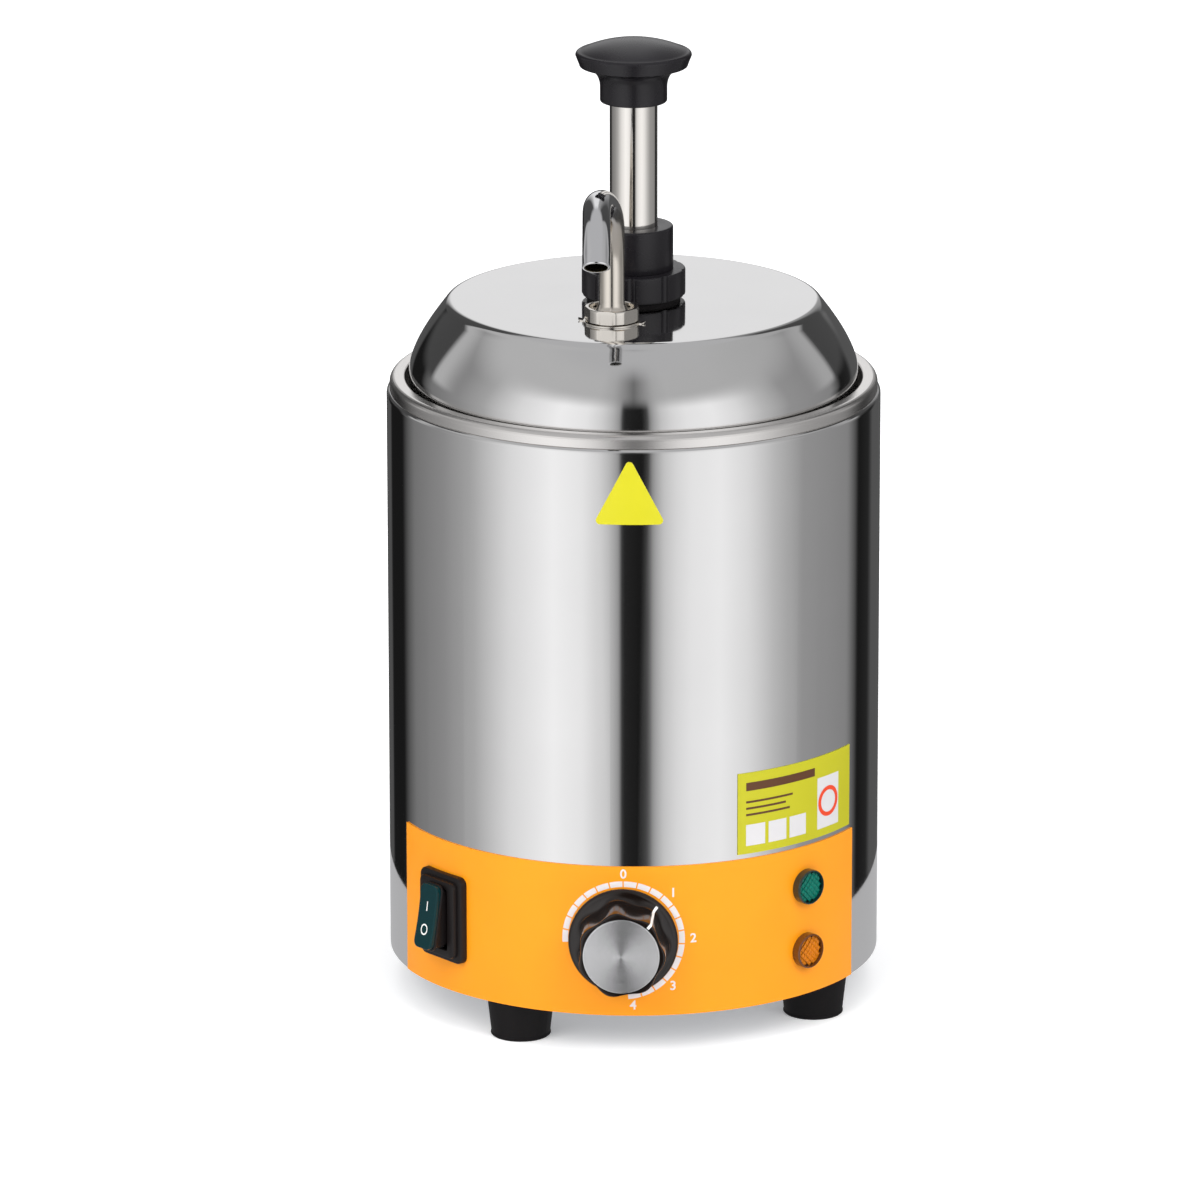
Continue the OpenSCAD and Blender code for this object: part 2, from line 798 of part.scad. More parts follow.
module switch_body() {
    color(black) held_in_film(z_switch, switch_h) on_wall(switch_azimuth, panel_r, z_switch) difference() {
        translate([0, 0, -switch_body_deep])
            rounded_plate(switch_w - switch_body_inset, switch_h - 2 * switch_body_inset, switch_body_round,
                switch_body_deep + switch_brim);
        translate([-window_w / 2, -window_h / 2, -rocker_well]) cube([window_w, window_h,
            rocker_well + switch_body_deep]);
    }
}

module switch_blades() {
    color("goldenrod") for (y = [-1, 0, 1]) on_wall(switch_azimuth, panel_r, z_switch)
        translate([-blade_w / 2, y * window_h / 3 - blade_t / 2, -switch_body_deep - blade_l])
            cube([blade_w, blade_t, blade_l]);
}

// The rocker's outline in its own frame: X along the height of the switch, Y outward from the pivot
module rocker_outline() {
    intersection() {
        circle(r = rocker_r);
        polygon([[-rocker_r, -rocker_back], [rocker_r, -rocker_back], [rocker_r, rocker_face_rise],
            [-rocker_r, rocker_face_rise]]);
    }
    polygon([[-rocker_head_half, rocker_head_rise], [rocker_head_half, rocker_head_rise],
        [rocker_head_half, rocker_end_rise], [0, rocker_face_rise], [-rocker_head_half, rocker_end_rise]]);
}

// Carries the rocker's pieces to the pivot, with the upper end pressed in
module at_rocker() {
    on_wall(switch_azimuth, panel_r, z_switch) translate([0, 0, rocker_axis_out])
        rotate([-rocker_lean, 0, 0]) rotate([0, -quarter, 0]) rotate([0, 0, -quarter]) children();
}

module rocker_slice(low, high) {
    at_rocker() intersection() {
        translate([0, 0, -rocker_w / 2]) linear_extrude(rocker_w) rocker_outline();
        translate([-2 * rocker_r, low, -rocker_w]) cube([4 * rocker_r, high - low, 2 * rocker_w]);
        translate([0, -2 * rocker_r, 0]) rotate([-quarter, 0, 0])
            rounded_plate(2 * rocker_head_half, rocker_w, rocker_round, 4 * rocker_r);
    }
}

module switch_rocker() {
    color(black) {
        rocker_slice(-2 * rocker_r, rocker_split);
        at_rocker() cylinder(r = rocker_pin_r, h = window_w + 2 * rocker_pin, center = true);
    }
}

module rocker_lens() {
    color("darkgreen") rocker_slice(rocker_split, 2 * rocker_r);
}

module thermostat_body() {
    color(steel) on_wall(0, casing_in_r, z_dial) difference() {
        union() {
            translate([-thermostat_w / 2, -thermostat_h / 2, -thermostat_boss_h - thermostat_deep])
                cube([thermostat_w, thermostat_h, thermostat_deep]);
            translate([0, 0, -thermostat_boss_h - cut]) cylinder(r = thermostat_boss_r,
                h = thermostat_boss_h + cut - ease);
            translate([0, 0, -thermostat_boss_h]) cylinder(r = bushing_r,
                h = thermostat_boss_h + bushing_out);
        }
        translate([0, 0, -thermostat_boss_h - shaft_inside - ease]) cylinder(r = shaft_r + fit, h = casing_r);
    }
}

module thermostat_nut() {
    color(dark_steel) seated_on_film(z_dial, switch_h) on_wall(0, panel_r, z_dial) difference() {
        translate([0, 0, -thermostat_nut_t / 2]) hexagon(thermostat_nut_af, 1.5 * thermostat_nut_t);
        translate([0, 0, -thermostat_nut_t]) cylinder(r = bushing_r + fit, h = 3 * thermostat_nut_t);
    }
}

module thermostat_shaft() {
    color(steel) on_wall(0, panel_r, z_dial) rotate([0, 0, -dial_pointer_angle]) difference() {
        translate([0, 0, -panel_t - casing_wall - thermostat_boss_h - shaft_inside])
            cylinder(r = shaft_r, h = panel_t + casing_wall + thermostat_boss_h + shaft_inside + shaft_reach);
        translate([-2 * shaft_r, shaft_r - shaft_flat, dial_hollow]) cube([4 * shaft_r, 2 * shaft_r,
            shaft_reach]);
    }
}

module sensing_bulb() {
    z_bulb = z_heater - bulb_r - fit;
    back_y = -casing_in_r + thermostat_boss_h + thermostat_deep;
    tail = bulb_l / 2;
    color("peru") {
        translate([-tail, bulb_y, z_bulb]) rotate([0, quarter, 0]) cylinder(r = bulb_r, h = bulb_l);
        pipe(route_rings([
            [tail, bulb_y, z_bulb], [tail + 2 * capillary_r, bulb_y, z_bulb],
            [tail + 4 * capillary_r, bulb_y, z_bulb - capillary_r], [tail + 5 * capillary_r, bulb_y,
                z_bulb - 4 * capillary_r],
            [tail + 4 * capillary_r, 1.1 * bulb_y, z_bulb - 10 * capillary_r], [tail, 1.5 * bulb_y,
                z_dial + z_sensor * 2],
            [tail / 2, 2 * bulb_y, z_dial + z_sensor * 1.5], [tail / 3, back_y + 6 * capillary_r,
                z_dial + z_sensor],
            [tail / 3, back_y + 3 * capillary_r, z_dial + z_sensor], [tail / 3, back_y, z_dial + z_sensor]],
            capillary_r, capillary_sides));
    }
}

module bulb_clip() {
    z_bulb = z_heater - bulb_r - fit;
    color(steel) difference() {
        translate([-clip_l / 2, bulb_y - clip_w / 2, z_bulb - bulb_r - clip_t])
            cube([clip_l, clip_w, z_heater - z_bulb + bulb_r + clip_t]);
        translate([-clip_l, bulb_y, z_bulb]) rotate([0, quarter, 0]) cylinder(r = bulb_r + fit,
            h = 2 * clip_l);
        translate([-clip_l, bulb_y - bulb_r - fit, z_bulb]) cube([2 * clip_l, 2 * (bulb_r + fit),
            bulb_r + fit + cut]);
    }
}

module dial_knob() {
    valley_at = dial_grip_r + dial_valley_r - dial_valley;
    color(black) on_wall(0, panel_r, z_dial) rotate([0, 0, -dial_pointer_angle]) difference() {
        union() {
            translate([0, 0, panel_gap]) cylinder(r1 = dial_skirt_r, r2 = dial_skirt_r - dial_skirt_slope,
                h = dial_skirt_t);
            difference() {
                translate([0, 0, panel_gap]) chamfered(dial_grip_r, dial_depth - panel_gap, dial_edge);
                for (i = [0:dial_lobes - 1]) rotate([0, 0, 360 * (i + 0.5) / dial_lobes])
                    translate([0, valley_at, panel_gap + dial_skirt_t]) cylinder(r = dial_valley_r,
                        h = dial_depth);
            }
        }
        translate([0, 0, -cut]) cylinder(r = dial_hollow_r, h = dial_hollow + cut);
        translate([0, 0, dial_depth - dial_cap_sink]) cylinder(r = dial_cap_r, h = dial_cap_sink + cut);
        translate([-pointer_w / 2, dial_grip_r - pointer_t, panel_gap + dial_skirt_t])
            cube([pointer_w, dial_valley_r, dial_depth]);
        intersection() {
            cylinder(r = shaft_r + fit, h = shaft_reach + ease);
            translate([-2 * shaft_r, -2 * shaft_r, 0]) cube([4 * shaft_r, 3 * shaft_r - shaft_flat + fit,
                shaft_reach + ease]);
        }
    }
}

module dial_cap() {
    color("gainsboro") on_wall(0, panel_r, z_dial) translate([0, 0, dial_depth - dial_cap_sink])
        chamfered(dial_cap_r, dial_cap_sink + dial_cap_proud, dial_cap_proud / 2);
}

module dial_pointer() {
    skirt_edge = dial_skirt_r - dial_skirt_slope;
    color("white") on_wall(0, panel_r, z_dial) rotate([0, 0, -dial_pointer_angle])
        translate([-pointer_w / 2, dial_grip_r - pointer_t, panel_gap + dial_skirt_t]) {
            cube([pointer_w, skirt_edge - dial_grip_r + pointer_t, pointer_t]);
            cube([pointer_w, pointer_t, dial_depth - panel_gap - dial_skirt_t - dial_edge]);
        }
}

module lamp_lens(rise) {
    seated_on_film(z_casing + rise, lamp_body_deep) on_wall(lamp_azimuth, panel_r, z_casing + rise)
        rotate_extrude()
        polygon(concat([[0, -lamp_proud / 2], [lamp_r, -lamp_proud / 2]],
            on_arc([lamp_r - lamp_round, lamp_proud - lamp_round], lamp_round, 0, quarter, corner_steps),
            [[0, lamp_proud]]));
}

module power_lamp_lens() { color("seagreen") lamp_lens(power_lamp_rise); }
module heat_lamp_lens() { color("orange") lamp_lens(heat_lamp_rise); }

module lamp_bodies() {
    color("ivory") for (rise = lamp_rises) {
        held_in_film(z_casing + rise, lamp_body_deep) on_wall(lamp_azimuth, panel_r, z_casing + rise)
            translate([0, 0, -lamp_body_deep]) cylinder(r = lamp_body_r, h = lamp_body_deep + cut);
        for (x = [-1, 1]) on_wall(lamp_azimuth, panel_r, z_casing + rise)
            translate([x * lamp_pitch / 2 - blade_t / 2, -lamp_blade_w / 2, -lamp_body_deep - blade_l])
                cube([blade_t, lamp_blade_w, blade_l + cut]);
    }
}

module lamp_nuts() {
    color(black) for (rise = lamp_rises) on_wall(lamp_azimuth, nut_seat_r(lamp_nut_af), z_casing + rise)
        translate([0, 0, -fit - lamp_nut_t]) difference() {
            hexagon(lamp_nut_af, lamp_nut_t);
            translate([0, 0, -cut]) cylinder(r = lamp_body_r + fit, h = lamp_nut_t + 2 * cut);
        }
}

module heater_plate() {
    color("lightgray") translate([0, 0, z_heater]) difference() {
        tube(heater_r, heater_eye_r, heater_t);
        around(stud_azimuths, stud_ring_r) translate([0, 0, -cut]) cylinder(r = stud_r + ease,
            h = heater_t + 2 * cut);
    }
}

module heating_element() {
    first = quarter + (360 - element_span) / 2;
    color(dark_steel) {
        translate([0, 0, z_element]) rotate([0, 0, first]) rotate_extrude(angle = element_span)
            translate([element_ring_r, 0]) circle(r = element_r, $fn = 32);
        for (a = [first, first + element_span]) rotate([0, 0, a]) translate([element_ring_r, 0, z_element]) {
            translate([0, 0, -element_leg])
                cylinder(r = element_sleeve_r, h = element_leg + element_r + ease - fit);
            translate([0, 0, -element_leg - element_pin]) cylinder(r = element_pin_r, h = element_pin + cut);
        }
    }
}

module heater_clamp() {
    color(steel) difference() {
        facing(clamp_gap_angle / 2 + quarter) rotate_extrude(angle = 360 - clamp_gap_angle)
            translate([clamp_in_r, z_clamp]) square([clamp_out_r - clamp_in_r, clamp_t]);
        around(stud_azimuths, stud_ring_r) translate([0, 0, z_clamp - cut])
            cylinder(r = stud_r + ease, h = clamp_t + 2 * cut);
    }
}

module heater_nuts() {
    color(dark_steel) around(stud_azimuths, stud_ring_r) translate([0, 0, z_clamp - stud_nut_t])
        difference() {
        hexagon(stud_nut_af, stud_nut_t);
        translate([0, 0, -cut]) cylinder(r = stud_r + fit, h = stud_nut_t + 2 * cut);
    }
}

module thermal_cutoff() {
    color(black) {
        translate([0, 0, z_heater - cutoff_below]) cylinder(r = cutoff_r,
            h = z_well_under - z_heater + cutoff_below);
        translate([-cutoff_ear_l / 2, -cutoff_ear_w / 2, z_heater - cutoff_ear_t])
            cube([cutoff_ear_l, cutoff_ear_w, cutoff_ear_t]);
        for (x = [-1, 1]) translate([x * cutoff_r / 2 - blade_t / 2, -blade_w / 2,
            z_heater - cutoff_below - blade_l])
            cube([blade_t, blade_w, blade_l + cut]);
    }
}

module terminal_block() {
    color("ivory") translate([-block_l / 2, block_y - block_w / 2, z_base]) difference() {
        cube([block_l, block_w, block_h]);
        for (i = [0:block_ways - 1]) translate([block_l / 2 + (i - (block_ways - 1) / 2) * block_pitch, 0,
            0]) {
            translate([0, -cut, block_h / 2]) rotate([-quarter, 0, 0]) cylinder(r = block_hole_r,
                h = block_w + 2 * cut);
            translate([0, block_w / 2, block_h / 2]) cylinder(r = block_screw_r, h = block_h);
        }
    }
}

module earth_screw() {
    color("goldenrod") translate([earth_x, earth_y, 0]) {
        translate([0, 0, z_casing]) cylinder(r = earth_r, h = earth_h);
        translate([-earth_tab_w / 2, -earth_tab_w / 2, z_base]) cube([earth_tab_w, earth_tab_l, earth_tab_t]);
        translate([0, 0, z_base + earth_tab_t]) hexagon(foot_nut_af, foot_nut_t);
    }
}

module cable_gland() {
    body_end = gland_body_share * gland_out;
    color(black) difference() {
        union() {
            difference() {
                on_wall(2 * quarter, casing_r, z_gland) translate([0, 0, -cut]) hexagon(gland_hex_af,
                    gland_hex_t + cut);
                translate([0, 0, z_gland - gland_hex_af]) cylinder(r = casing_r, h = 2 * gland_hex_af,
                    $fn = 360);
            }
            on_wall(2 * quarter, casing_r, z_gland) {
                translate([0, 0, -gland_tail]) cylinder(r = gland_thread_r, h = gland_tail + gland_hex_t);
                cylinder(r = gland_body_r, h = body_end);
                translate([0, 0, body_end]) rotate_extrude() polygon(concat([[0, 0], [gland_cap_r, 0]],
                    on_arc([gland_cap_r - gland_round, gland_out - body_end - gland_round], gland_round,
                        0, quarter,
                        corner_steps), [[0, gland_out - body_end]]));
            }
        }
        on_wall(2 * quarter, casing_r, z_gland) translate([0, 0, -gland_tail - cut])
            cylinder(r = cable_r, h = gland_tail + gland_out + 2 * cut);
    }
}

module gland_nut() {
    color(black) on_wall(2 * quarter, nut_seat_r(gland_hex_af), z_gland)
        translate([0, 0, -gland_nut_t - fit]) difference() {
        hexagon(gland_hex_af, gland_nut_t);
        translate([0, 0, -cut]) cylinder(r = gland_thread_r + fit, h = gland_nut_t + 2 * cut);
    }
}

module jar() {
    bend_in = jar_bend - jar_wall;
    corner = [jar_r - jar_bend, z_jar + jar_bend];
    color(steel) rotate_extrude($fn = 360) polygon(concat(
        [[0, z_jar]],
        on_arc(corner, jar_bend, -quarter, 0, corner_steps),
        [[jar_r, z_ledge], [jar_flange_r, z_ledge], [jar_flange_r, z_flange], [jar_in_r, z_flange]],
        on_arc(corner, bend_in, 0, -quarter, corner_steps),
        [[0, z_jar_floor]]));
}

// The lid's side from the skirt to the flat top, for the outer or the inner face
function lid_side(r, h) = concat(
    on_curve([r, lid_skirt_share * h], shared(lid_belly_shares, r, h), shared(lid_shoulder_shares, r, h),
        curve_steps),
    on_curve(shared(lid_shoulder_shares, r, h), shared(lid_edge_shares, r, h), shared(lid_flat_shares, r, h),
        corner_steps));

function reversed(list) = [for (i = [len(list) - 1:-1:0]) list[i]];

module lid() {
    color(steel) difference() {
        translate([0, 0, z_flange]) rotate_extrude($fn = 360) polygon(concat(
            [[lid_r, 0]], lid_side(lid_r, lid_h), [[0, lid_h], [0, lid_h - lid_wall]],
            reversed(lid_side(lid_r - lid_wall, lid_h - lid_wall)), [[lid_r - lid_wall, 0]]));
        translate([0, 0, z_lid_under - cut]) cylinder(r = neck_r + ease, h = lid_wall + 2 * cut);
        around([riser_azimuth], riser_reach) translate([0, 0, z_lid_under - cut])
            cylinder(r = fitting_r + ease, h = lid_wall + 2 * cut);
    }
}

module pump_gasket() {
    color(black) translate([0, 0, z_lid]) tube(lock_r - 2 * lock_chamfer, neck_r + ease, gasket_t);
}

module lock_collar() {
    color(black) translate([0, 0, z_lock]) difference() {
        chamfered(lock_r, lock_h, lock_chamfer);
        translate([0, 0, -cut]) cylinder(r = neck_r + fit, h = lock_h + 2 * cut);
        for (i = [0:lock_grooves - 1]) rotate([0, 0, 360 * i / lock_grooves])
            translate([0, -lock_r - groove_r + groove_depth, -cut]) cylinder(r = groove_r,
                h = lock_h + 2 * cut);
    }
}

module stem_bush() {
    color(black) difference() {
        union() {
            translate([0, 0, z_bush]) rotate_extrude() polygon([[0, 0], [bush_r, 0], [bush_r,
                bush_h - bush_chamfer],
                [bush_r - bush_chamfer, bush_h], [0, bush_h]]);
            translate([0, 0, z_stop]) cylinder(r = pump_r - fit, h = spigot_h + cut);
        }
        translate([0, 0, z_stop - cut]) cylinder(r = stem_r + fit, h = spigot_h + bush_h + 2 * cut);
    }
}

module pump_cylinder() {
    color(steel) difference() {
        union() {
            translate([0, 0, z_spring]) cylinder(r = pump_out_r, h = z_lid_under - z_spring);
            translate([0, 0, z_lid_under - flange_t]) cylinder(r = flange_r, h = flange_t);
            translate([0, 0, z_lid_under - flange_t]) cylinder(r = neck_r,
                h = z_bush - z_lid_under + flange_t);
        }
        translate([0, 0, z_spring - cut]) cylinder(r = pump_r, h = z_bush - z_spring + 2 * cut);
    }
}

module valve_body() {
    color("gainsboro") facing(riser_azimuth) difference() {
        union() {
            translate([0, 0, z_valve]) cylinder(r = valve_r, h = z_valve_top - z_valve);
            translate([-arm_w / 2, -riser_reach, z_valve]) cube([arm_w, riser_reach, z_outlet - z_valve]);
            translate([0, -riser_reach, z_valve]) cylinder(r = riser_socket_r, h = z_riser_socket - z_valve);
        }
        translate([0, 0, z_spring]) cylinder(r = pump_out_r + fit, h = valve_socket + cut);
        translate([0, 0, z_chamber]) cylinder(r = chamber_r, h = chamber_h);
        translate([0, 0, z_valve - cut]) cylinder(r = inlet_r, h = valve_floor_t + 2 * cut);
        translate([0, 0, z_chamber]) cylinder(r = transfer_r, h = chamber_h + valve_floor_t + cut);
        for (a = [0, quarter]) rotate([0, 0, a]) translate([-2 * valve_r, -notch_w / 2, z_valve - cut])
            cube([4 * valve_r, notch_w, notch_h + cut]);
        translate([0, 0, z_valve + outlet_floor * port_z_share]) rotate([quarter, 0, 0])
            cylinder(r = port_r, h = riser_reach);
        translate([0, -riser_reach, z_valve + outlet_floor * port_z_share]) {
            cylinder(r = outlet_seat_r, h = outlet_floor);
            sphere(r = port_r, $fn = 48);
        }
        translate([0, -riser_reach, z_outlet]) cylinder(r = spout_r + fit,
            h = z_riser_socket - z_outlet + cut);
    }
}

module inlet_ball() {
    color("gainsboro") translate([0, 0, z_chamber + inlet_seat_rise + ease]) sphere(r = inlet_ball_r,
        $fn = 48);
}

module outlet_ball() {
    color("gainsboro") around([riser_azimuth], riser_reach) translate([0, 0,
        z_outlet + outlet_seat_rise + ease])
        sphere(r = outlet_ball_r, $fn = 48);
}

module discharge_tube() {
    bore_r = spout_r - spout_wall;
    color(steel) around([riser_azimuth], riser_reach) difference() {
        union() {
            translate([0, 0, z_riser]) cylinder(r = spout_r, h = z_spout_foot - z_riser);
            translate([0, 0, z_lid_under - fitting_drop]) cylinder(r = fitting_r,
                h = z_spout_foot - z_lid_under
                + fitting_drop);
            translate([0, 0, z_lid_under - flange_t]) cylinder(r = fitting_flange_r, h = flange_t);
        }
        translate([0, 0, z_riser - cut]) cylinder(r = bore_r, h = z_spout_foot - z_riser + 2 * cut);
        translate([-2 * spout_r, -notch_h / 2, z_riser - cut]) cube([4 * spout_r, notch_h, notch_h + cut]);
    }
}

module spout_washer() {
    color(steel) around([riser_azimuth], riser_reach) translate([0, 0, z_lid]) difference() {
        union() {
            cylinder(r = washer_r, h = washer_t);
            translate([-washer_r - washer_tab, -washer_tab_w / 2, 0]) cube([2 * (washer_r + washer_tab),
                washer_tab_w, washer_t]);
        }
        translate([0, 0, -cut]) cylinder(r = fitting_r + fit, h = washer_t + 2 * cut);
    }
}

module spout_nut() {
    corner_r = spout_nut_af / sqrt(3);
    color(steel) around([riser_azimuth], riser_reach) translate([0, 0, z_spout_nut]) difference() {
        intersection() {
            hexagon(spout_nut_af, spout_nut_h);
            chamfered(corner_r, spout_nut_h, nut_chamfer);
        }
        translate([0, 0, -cut]) cylinder(r = fitting_r + fit, h = spout_nut_h + 2 * cut);
        translate([0, 0, spout_nut_h - nut_recess]) cylinder(r = nut_recess_r, h = nut_recess + cut);
    }
}

// How much of the drift is done after a part of the bend, from 0 to 1 without a kink
function drifted(angle) =
    (1 - cos(2 * quarter * max(0, min((angle - drift_from) / (drift_to - drift_from), 1)))) / 2;

// Stations along the spout: its centre, how far it has turned from straight up, and its outer radius
function spout_stations() =
    let (z_bend = z_spout_foot + spout_rise, leave = [sin(spout_turn), cos(spout_turn)],
        end = spout_bend * [1 - cos(spout_turn), sin(spout_turn)])
    concat(
        [[[0, 0, z_spout_foot], 0, fitting_r], [[0, 0, z_spout_foot + spout_flare_h], 0, spout_r]],
        [for (i = [0:bend_steps]) let (t = spout_turn * i / bend_steps)
            [[spout_bend * (1 - cos(t)), -spout_drift * drifted(t), z_bend + spout_bend * sin(t)], t,
                spout_r]],
        [[[end[0] + spout_end * leave[0], -spout_drift, z_bend + end[1] + spout_end * leave[1]],
            spout_turn, spout_r]]);

// The ring of the spout's surface at a station, wider across the bend than along it
function spout_ring(station, r) =
    let (t = station[1], wide = 1 + spout_flatten * drifted(t), thin = 1 - spout_flatten * drifted(t))
    [for (k = [0:spout_sides - 1]) let (a = 360 * k / spout_sides)
        station[0] + r * (cos(a) * wide * [0, 1, 0] + sin(a) * thin * [-cos(t), 0, sin(t)])];

module spout() {
    stations = spout_stations();
    color(steel) facing(riser_azimuth) translate([0, -riser_reach, 0])
        rotate([0, 0, spout_azimuth - riser_azimuth - quarter]) hollow_pipe(
            [for (s = stations) spout_ring(s, s[2])],
            [for (s = stations) spout_ring(s, spout_r - spout_wall)]);
}

module return_spring() {
    rise = spring_rest - spring_wire - 2 * fit;
    steps = spring_turns * spring_ring_steps;
    pitch = rise / spring_turns;
    echo(least_gap_between_turns = pitch - spring_wire);
    color(steel) translate([0, 0, z_spring + spring_wire / 2 + fit]) pipe([for (i = [0:steps]) let (
            a = 360 * i / spring_ring_steps, tangent = [-sin(a), cos(a), rise / steps / spring_coil_r])
        ring_at([spring_coil_r * cos(a), spring_coil_r * sin(a), rise * i / steps], tangent, spring_wire / 2,
            spring_sides)]);
}

module plunger_knob() {
    color(black) translate([0, 0, z_knob]) difference() {
        rotate_extrude() polygon(concat(
            [[0, 0], [knob_neck_r - knob_neck_edge, 0], [knob_neck_r, knob_neck_edge]],
            [[knob_neck_r, knob_throat_share * knob_h]],
            on_curve([knob_neck_r, knob_throat_share * knob_h], shared(knob_cup_shares, knob_r, knob_h),
                shared(knob_lip_shares, knob_r, knob_h), curve_steps),
            on_curve(shared(knob_widest_shares, knob_r, knob_h), shared(knob_rim_shares, knob_r, knob_h),
                shared(knob_crown_shares, knob_r, knob_h), corner_steps),
            on_curve(shared(knob_crown_shares, knob_r, knob_h), shared(knob_dome_shares, knob_r, knob_h),
                [0, knob_h], curve_steps)));
        translate([0, 0, -cut]) cylinder(r = stem_r + fit, h = stem_socket + cut);
    }
}

module plunger_tube() {
    z_low = z_piston + piston_h;
    color(steel) translate([0, 0, z_low]) difference() {
        cylinder(r = stem_r, h = z_stem_top - z_low);
        translate([0, 0, -cut]) cylinder(r = stem_in_r, h = z_stem_top - z_low - stem_wall + cut);
    }
}

module stop_collar() {
    color(steel) translate([0, 0, z_stop - stop_t]) tube(stop_r, stem_r + fit, stop_t);
}

module piston() {
    color("gainsboro") translate([0, 0, z_piston]) difference() {
        union() {
            cylinder(r = piston_r, h = piston_h);
            cylinder(r = piston_boss_r, h = piston_h + piston_boss_h);
        }
        translate([0, 0, (piston_h - seal_h) * seal_rise_share]) tube(pump_r + cut, seal_r - seal_depth,
            seal_h);
        translate([0, 0, -cut]) cylinder(r = screw_r + fit, h = piston_h + piston_boss_h + 2 * cut);
        translate([0, 0, -cut]) cylinder(r = screw_head_r + fit, h = screw_head_t + cut);
    }
}

module piston_seal() {
    color(black) translate([0, 0, z_piston + (piston_h - seal_h) * seal_rise_share])
        tube(seal_r, seal_r - seal_depth, seal_h);
}

module piston_screw() {
    color(steel) translate([0, 0, z_piston]) {
        cylinder(r = screw_head_r, h = screw_head_t);
        cylinder(r = screw_r, h = piston_h + piston_boss_h);
    }
}

casing();
well_ring();
water_well();
well_floor();
control_panel();
triangle_sticker();
label_sticker();
base_plate();
base_brackets();
base_screws();
feet();
foot_screws();
foot_nuts();
switch_frame();
switch_body();
switch_blades();
switch_rocker();
rocker_lens();
thermostat_body();
thermostat_nut();
thermostat_shaft();
sensing_bulb();
bulb_clip();
dial_knob();
dial_cap();
dial_pointer();
power_lamp_lens();
heat_lamp_lens();
lamp_bodies();
lamp_nuts();
heater_plate();
heating_element();
heater_clamp();
heater_nuts();
thermal_cutoff();
terminal_block();
earth_screw();
cable_gland();
gland_nut();
jar();
lid();
pump_gasket();
lock_collar();
stem_bush();
pump_cylinder();
valve_body();
discharge_tube();
spout_washer();
spout_nut();
spout();
return_spring();
inlet_ball();
outlet_ball();
plunger_knob();
plunger_tube();
stop_collar();
piston();
piston_seal();
piston_screw();
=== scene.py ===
# %% [markdown]
# # A hot fudge topping warmer
# The construction comes ready made as a fixed frame of named nodes. This script gives each surface its
# finish, models the pieces whose shapes need more than the frame's plain solids, and sets up a small
# studio. Everything is in metres, Z points up and the control panel faces -Y.

# %% Load the frame
import json
import math

import bmesh
import bpy
from mathutils import Matrix, Vector


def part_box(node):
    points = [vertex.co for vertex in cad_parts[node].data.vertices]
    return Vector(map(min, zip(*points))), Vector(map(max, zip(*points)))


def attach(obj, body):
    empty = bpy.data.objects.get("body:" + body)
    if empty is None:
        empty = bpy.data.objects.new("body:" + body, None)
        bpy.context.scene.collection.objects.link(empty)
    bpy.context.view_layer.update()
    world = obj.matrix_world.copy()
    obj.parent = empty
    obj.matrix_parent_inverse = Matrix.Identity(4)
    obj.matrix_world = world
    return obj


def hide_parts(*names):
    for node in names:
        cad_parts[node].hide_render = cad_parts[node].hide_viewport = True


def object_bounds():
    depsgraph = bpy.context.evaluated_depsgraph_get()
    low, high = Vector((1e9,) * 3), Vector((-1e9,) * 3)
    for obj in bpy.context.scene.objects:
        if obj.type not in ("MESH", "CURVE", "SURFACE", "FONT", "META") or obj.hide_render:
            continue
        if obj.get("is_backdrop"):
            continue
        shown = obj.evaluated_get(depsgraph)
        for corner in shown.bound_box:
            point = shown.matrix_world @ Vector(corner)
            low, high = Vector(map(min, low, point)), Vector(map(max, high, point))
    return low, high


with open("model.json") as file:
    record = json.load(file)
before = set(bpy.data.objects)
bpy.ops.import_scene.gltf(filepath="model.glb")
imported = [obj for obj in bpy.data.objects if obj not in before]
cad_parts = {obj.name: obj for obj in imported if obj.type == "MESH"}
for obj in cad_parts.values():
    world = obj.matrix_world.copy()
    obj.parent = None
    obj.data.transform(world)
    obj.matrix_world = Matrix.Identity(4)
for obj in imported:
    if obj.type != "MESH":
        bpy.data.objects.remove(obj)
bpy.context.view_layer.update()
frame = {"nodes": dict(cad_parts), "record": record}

nodes = frame["nodes"]

# %% [markdown]
# ## Measures from the frame
# Nearly every piece here is round about the Z axis or sits on the round casing, so a few radii and
# heights read from the frame place all the rest.

# %% Radii and heights
MM = 0.001


def span(node):
    """A node's lowest and highest corner as two vectors."""
    low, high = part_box(node)
    return Vector(low), Vector(high)


casing_r = span("casing")[1].x
film_r = -span("control_panel")[0].y
lid_low, lid_high = span("lid")
lid_r = lid_high.x
knob_low, knob_high = span("plunger_knob")
dial_low, dial_high = span("dial_knob")
dial_z = (dial_low.z + dial_high.z) / 2
print("casing radius", round(casing_r, 5), "film radius", round(film_r, 5), "dial height", round(dial_z, 5))

# %% [markdown]
# ## Making and joining pieces
# Every modelled piece ends the same way: it is carried to its place, smoothed, given its finish and set on
# the body that it moves with.

# %% From a mesh to a finished piece
WELD = 1e-7


def carry(bm, matrix):
    """Moves all that has been made so far by a matrix."""
    bmesh.ops.transform(bm, matrix=matrix, verts=bm.verts)


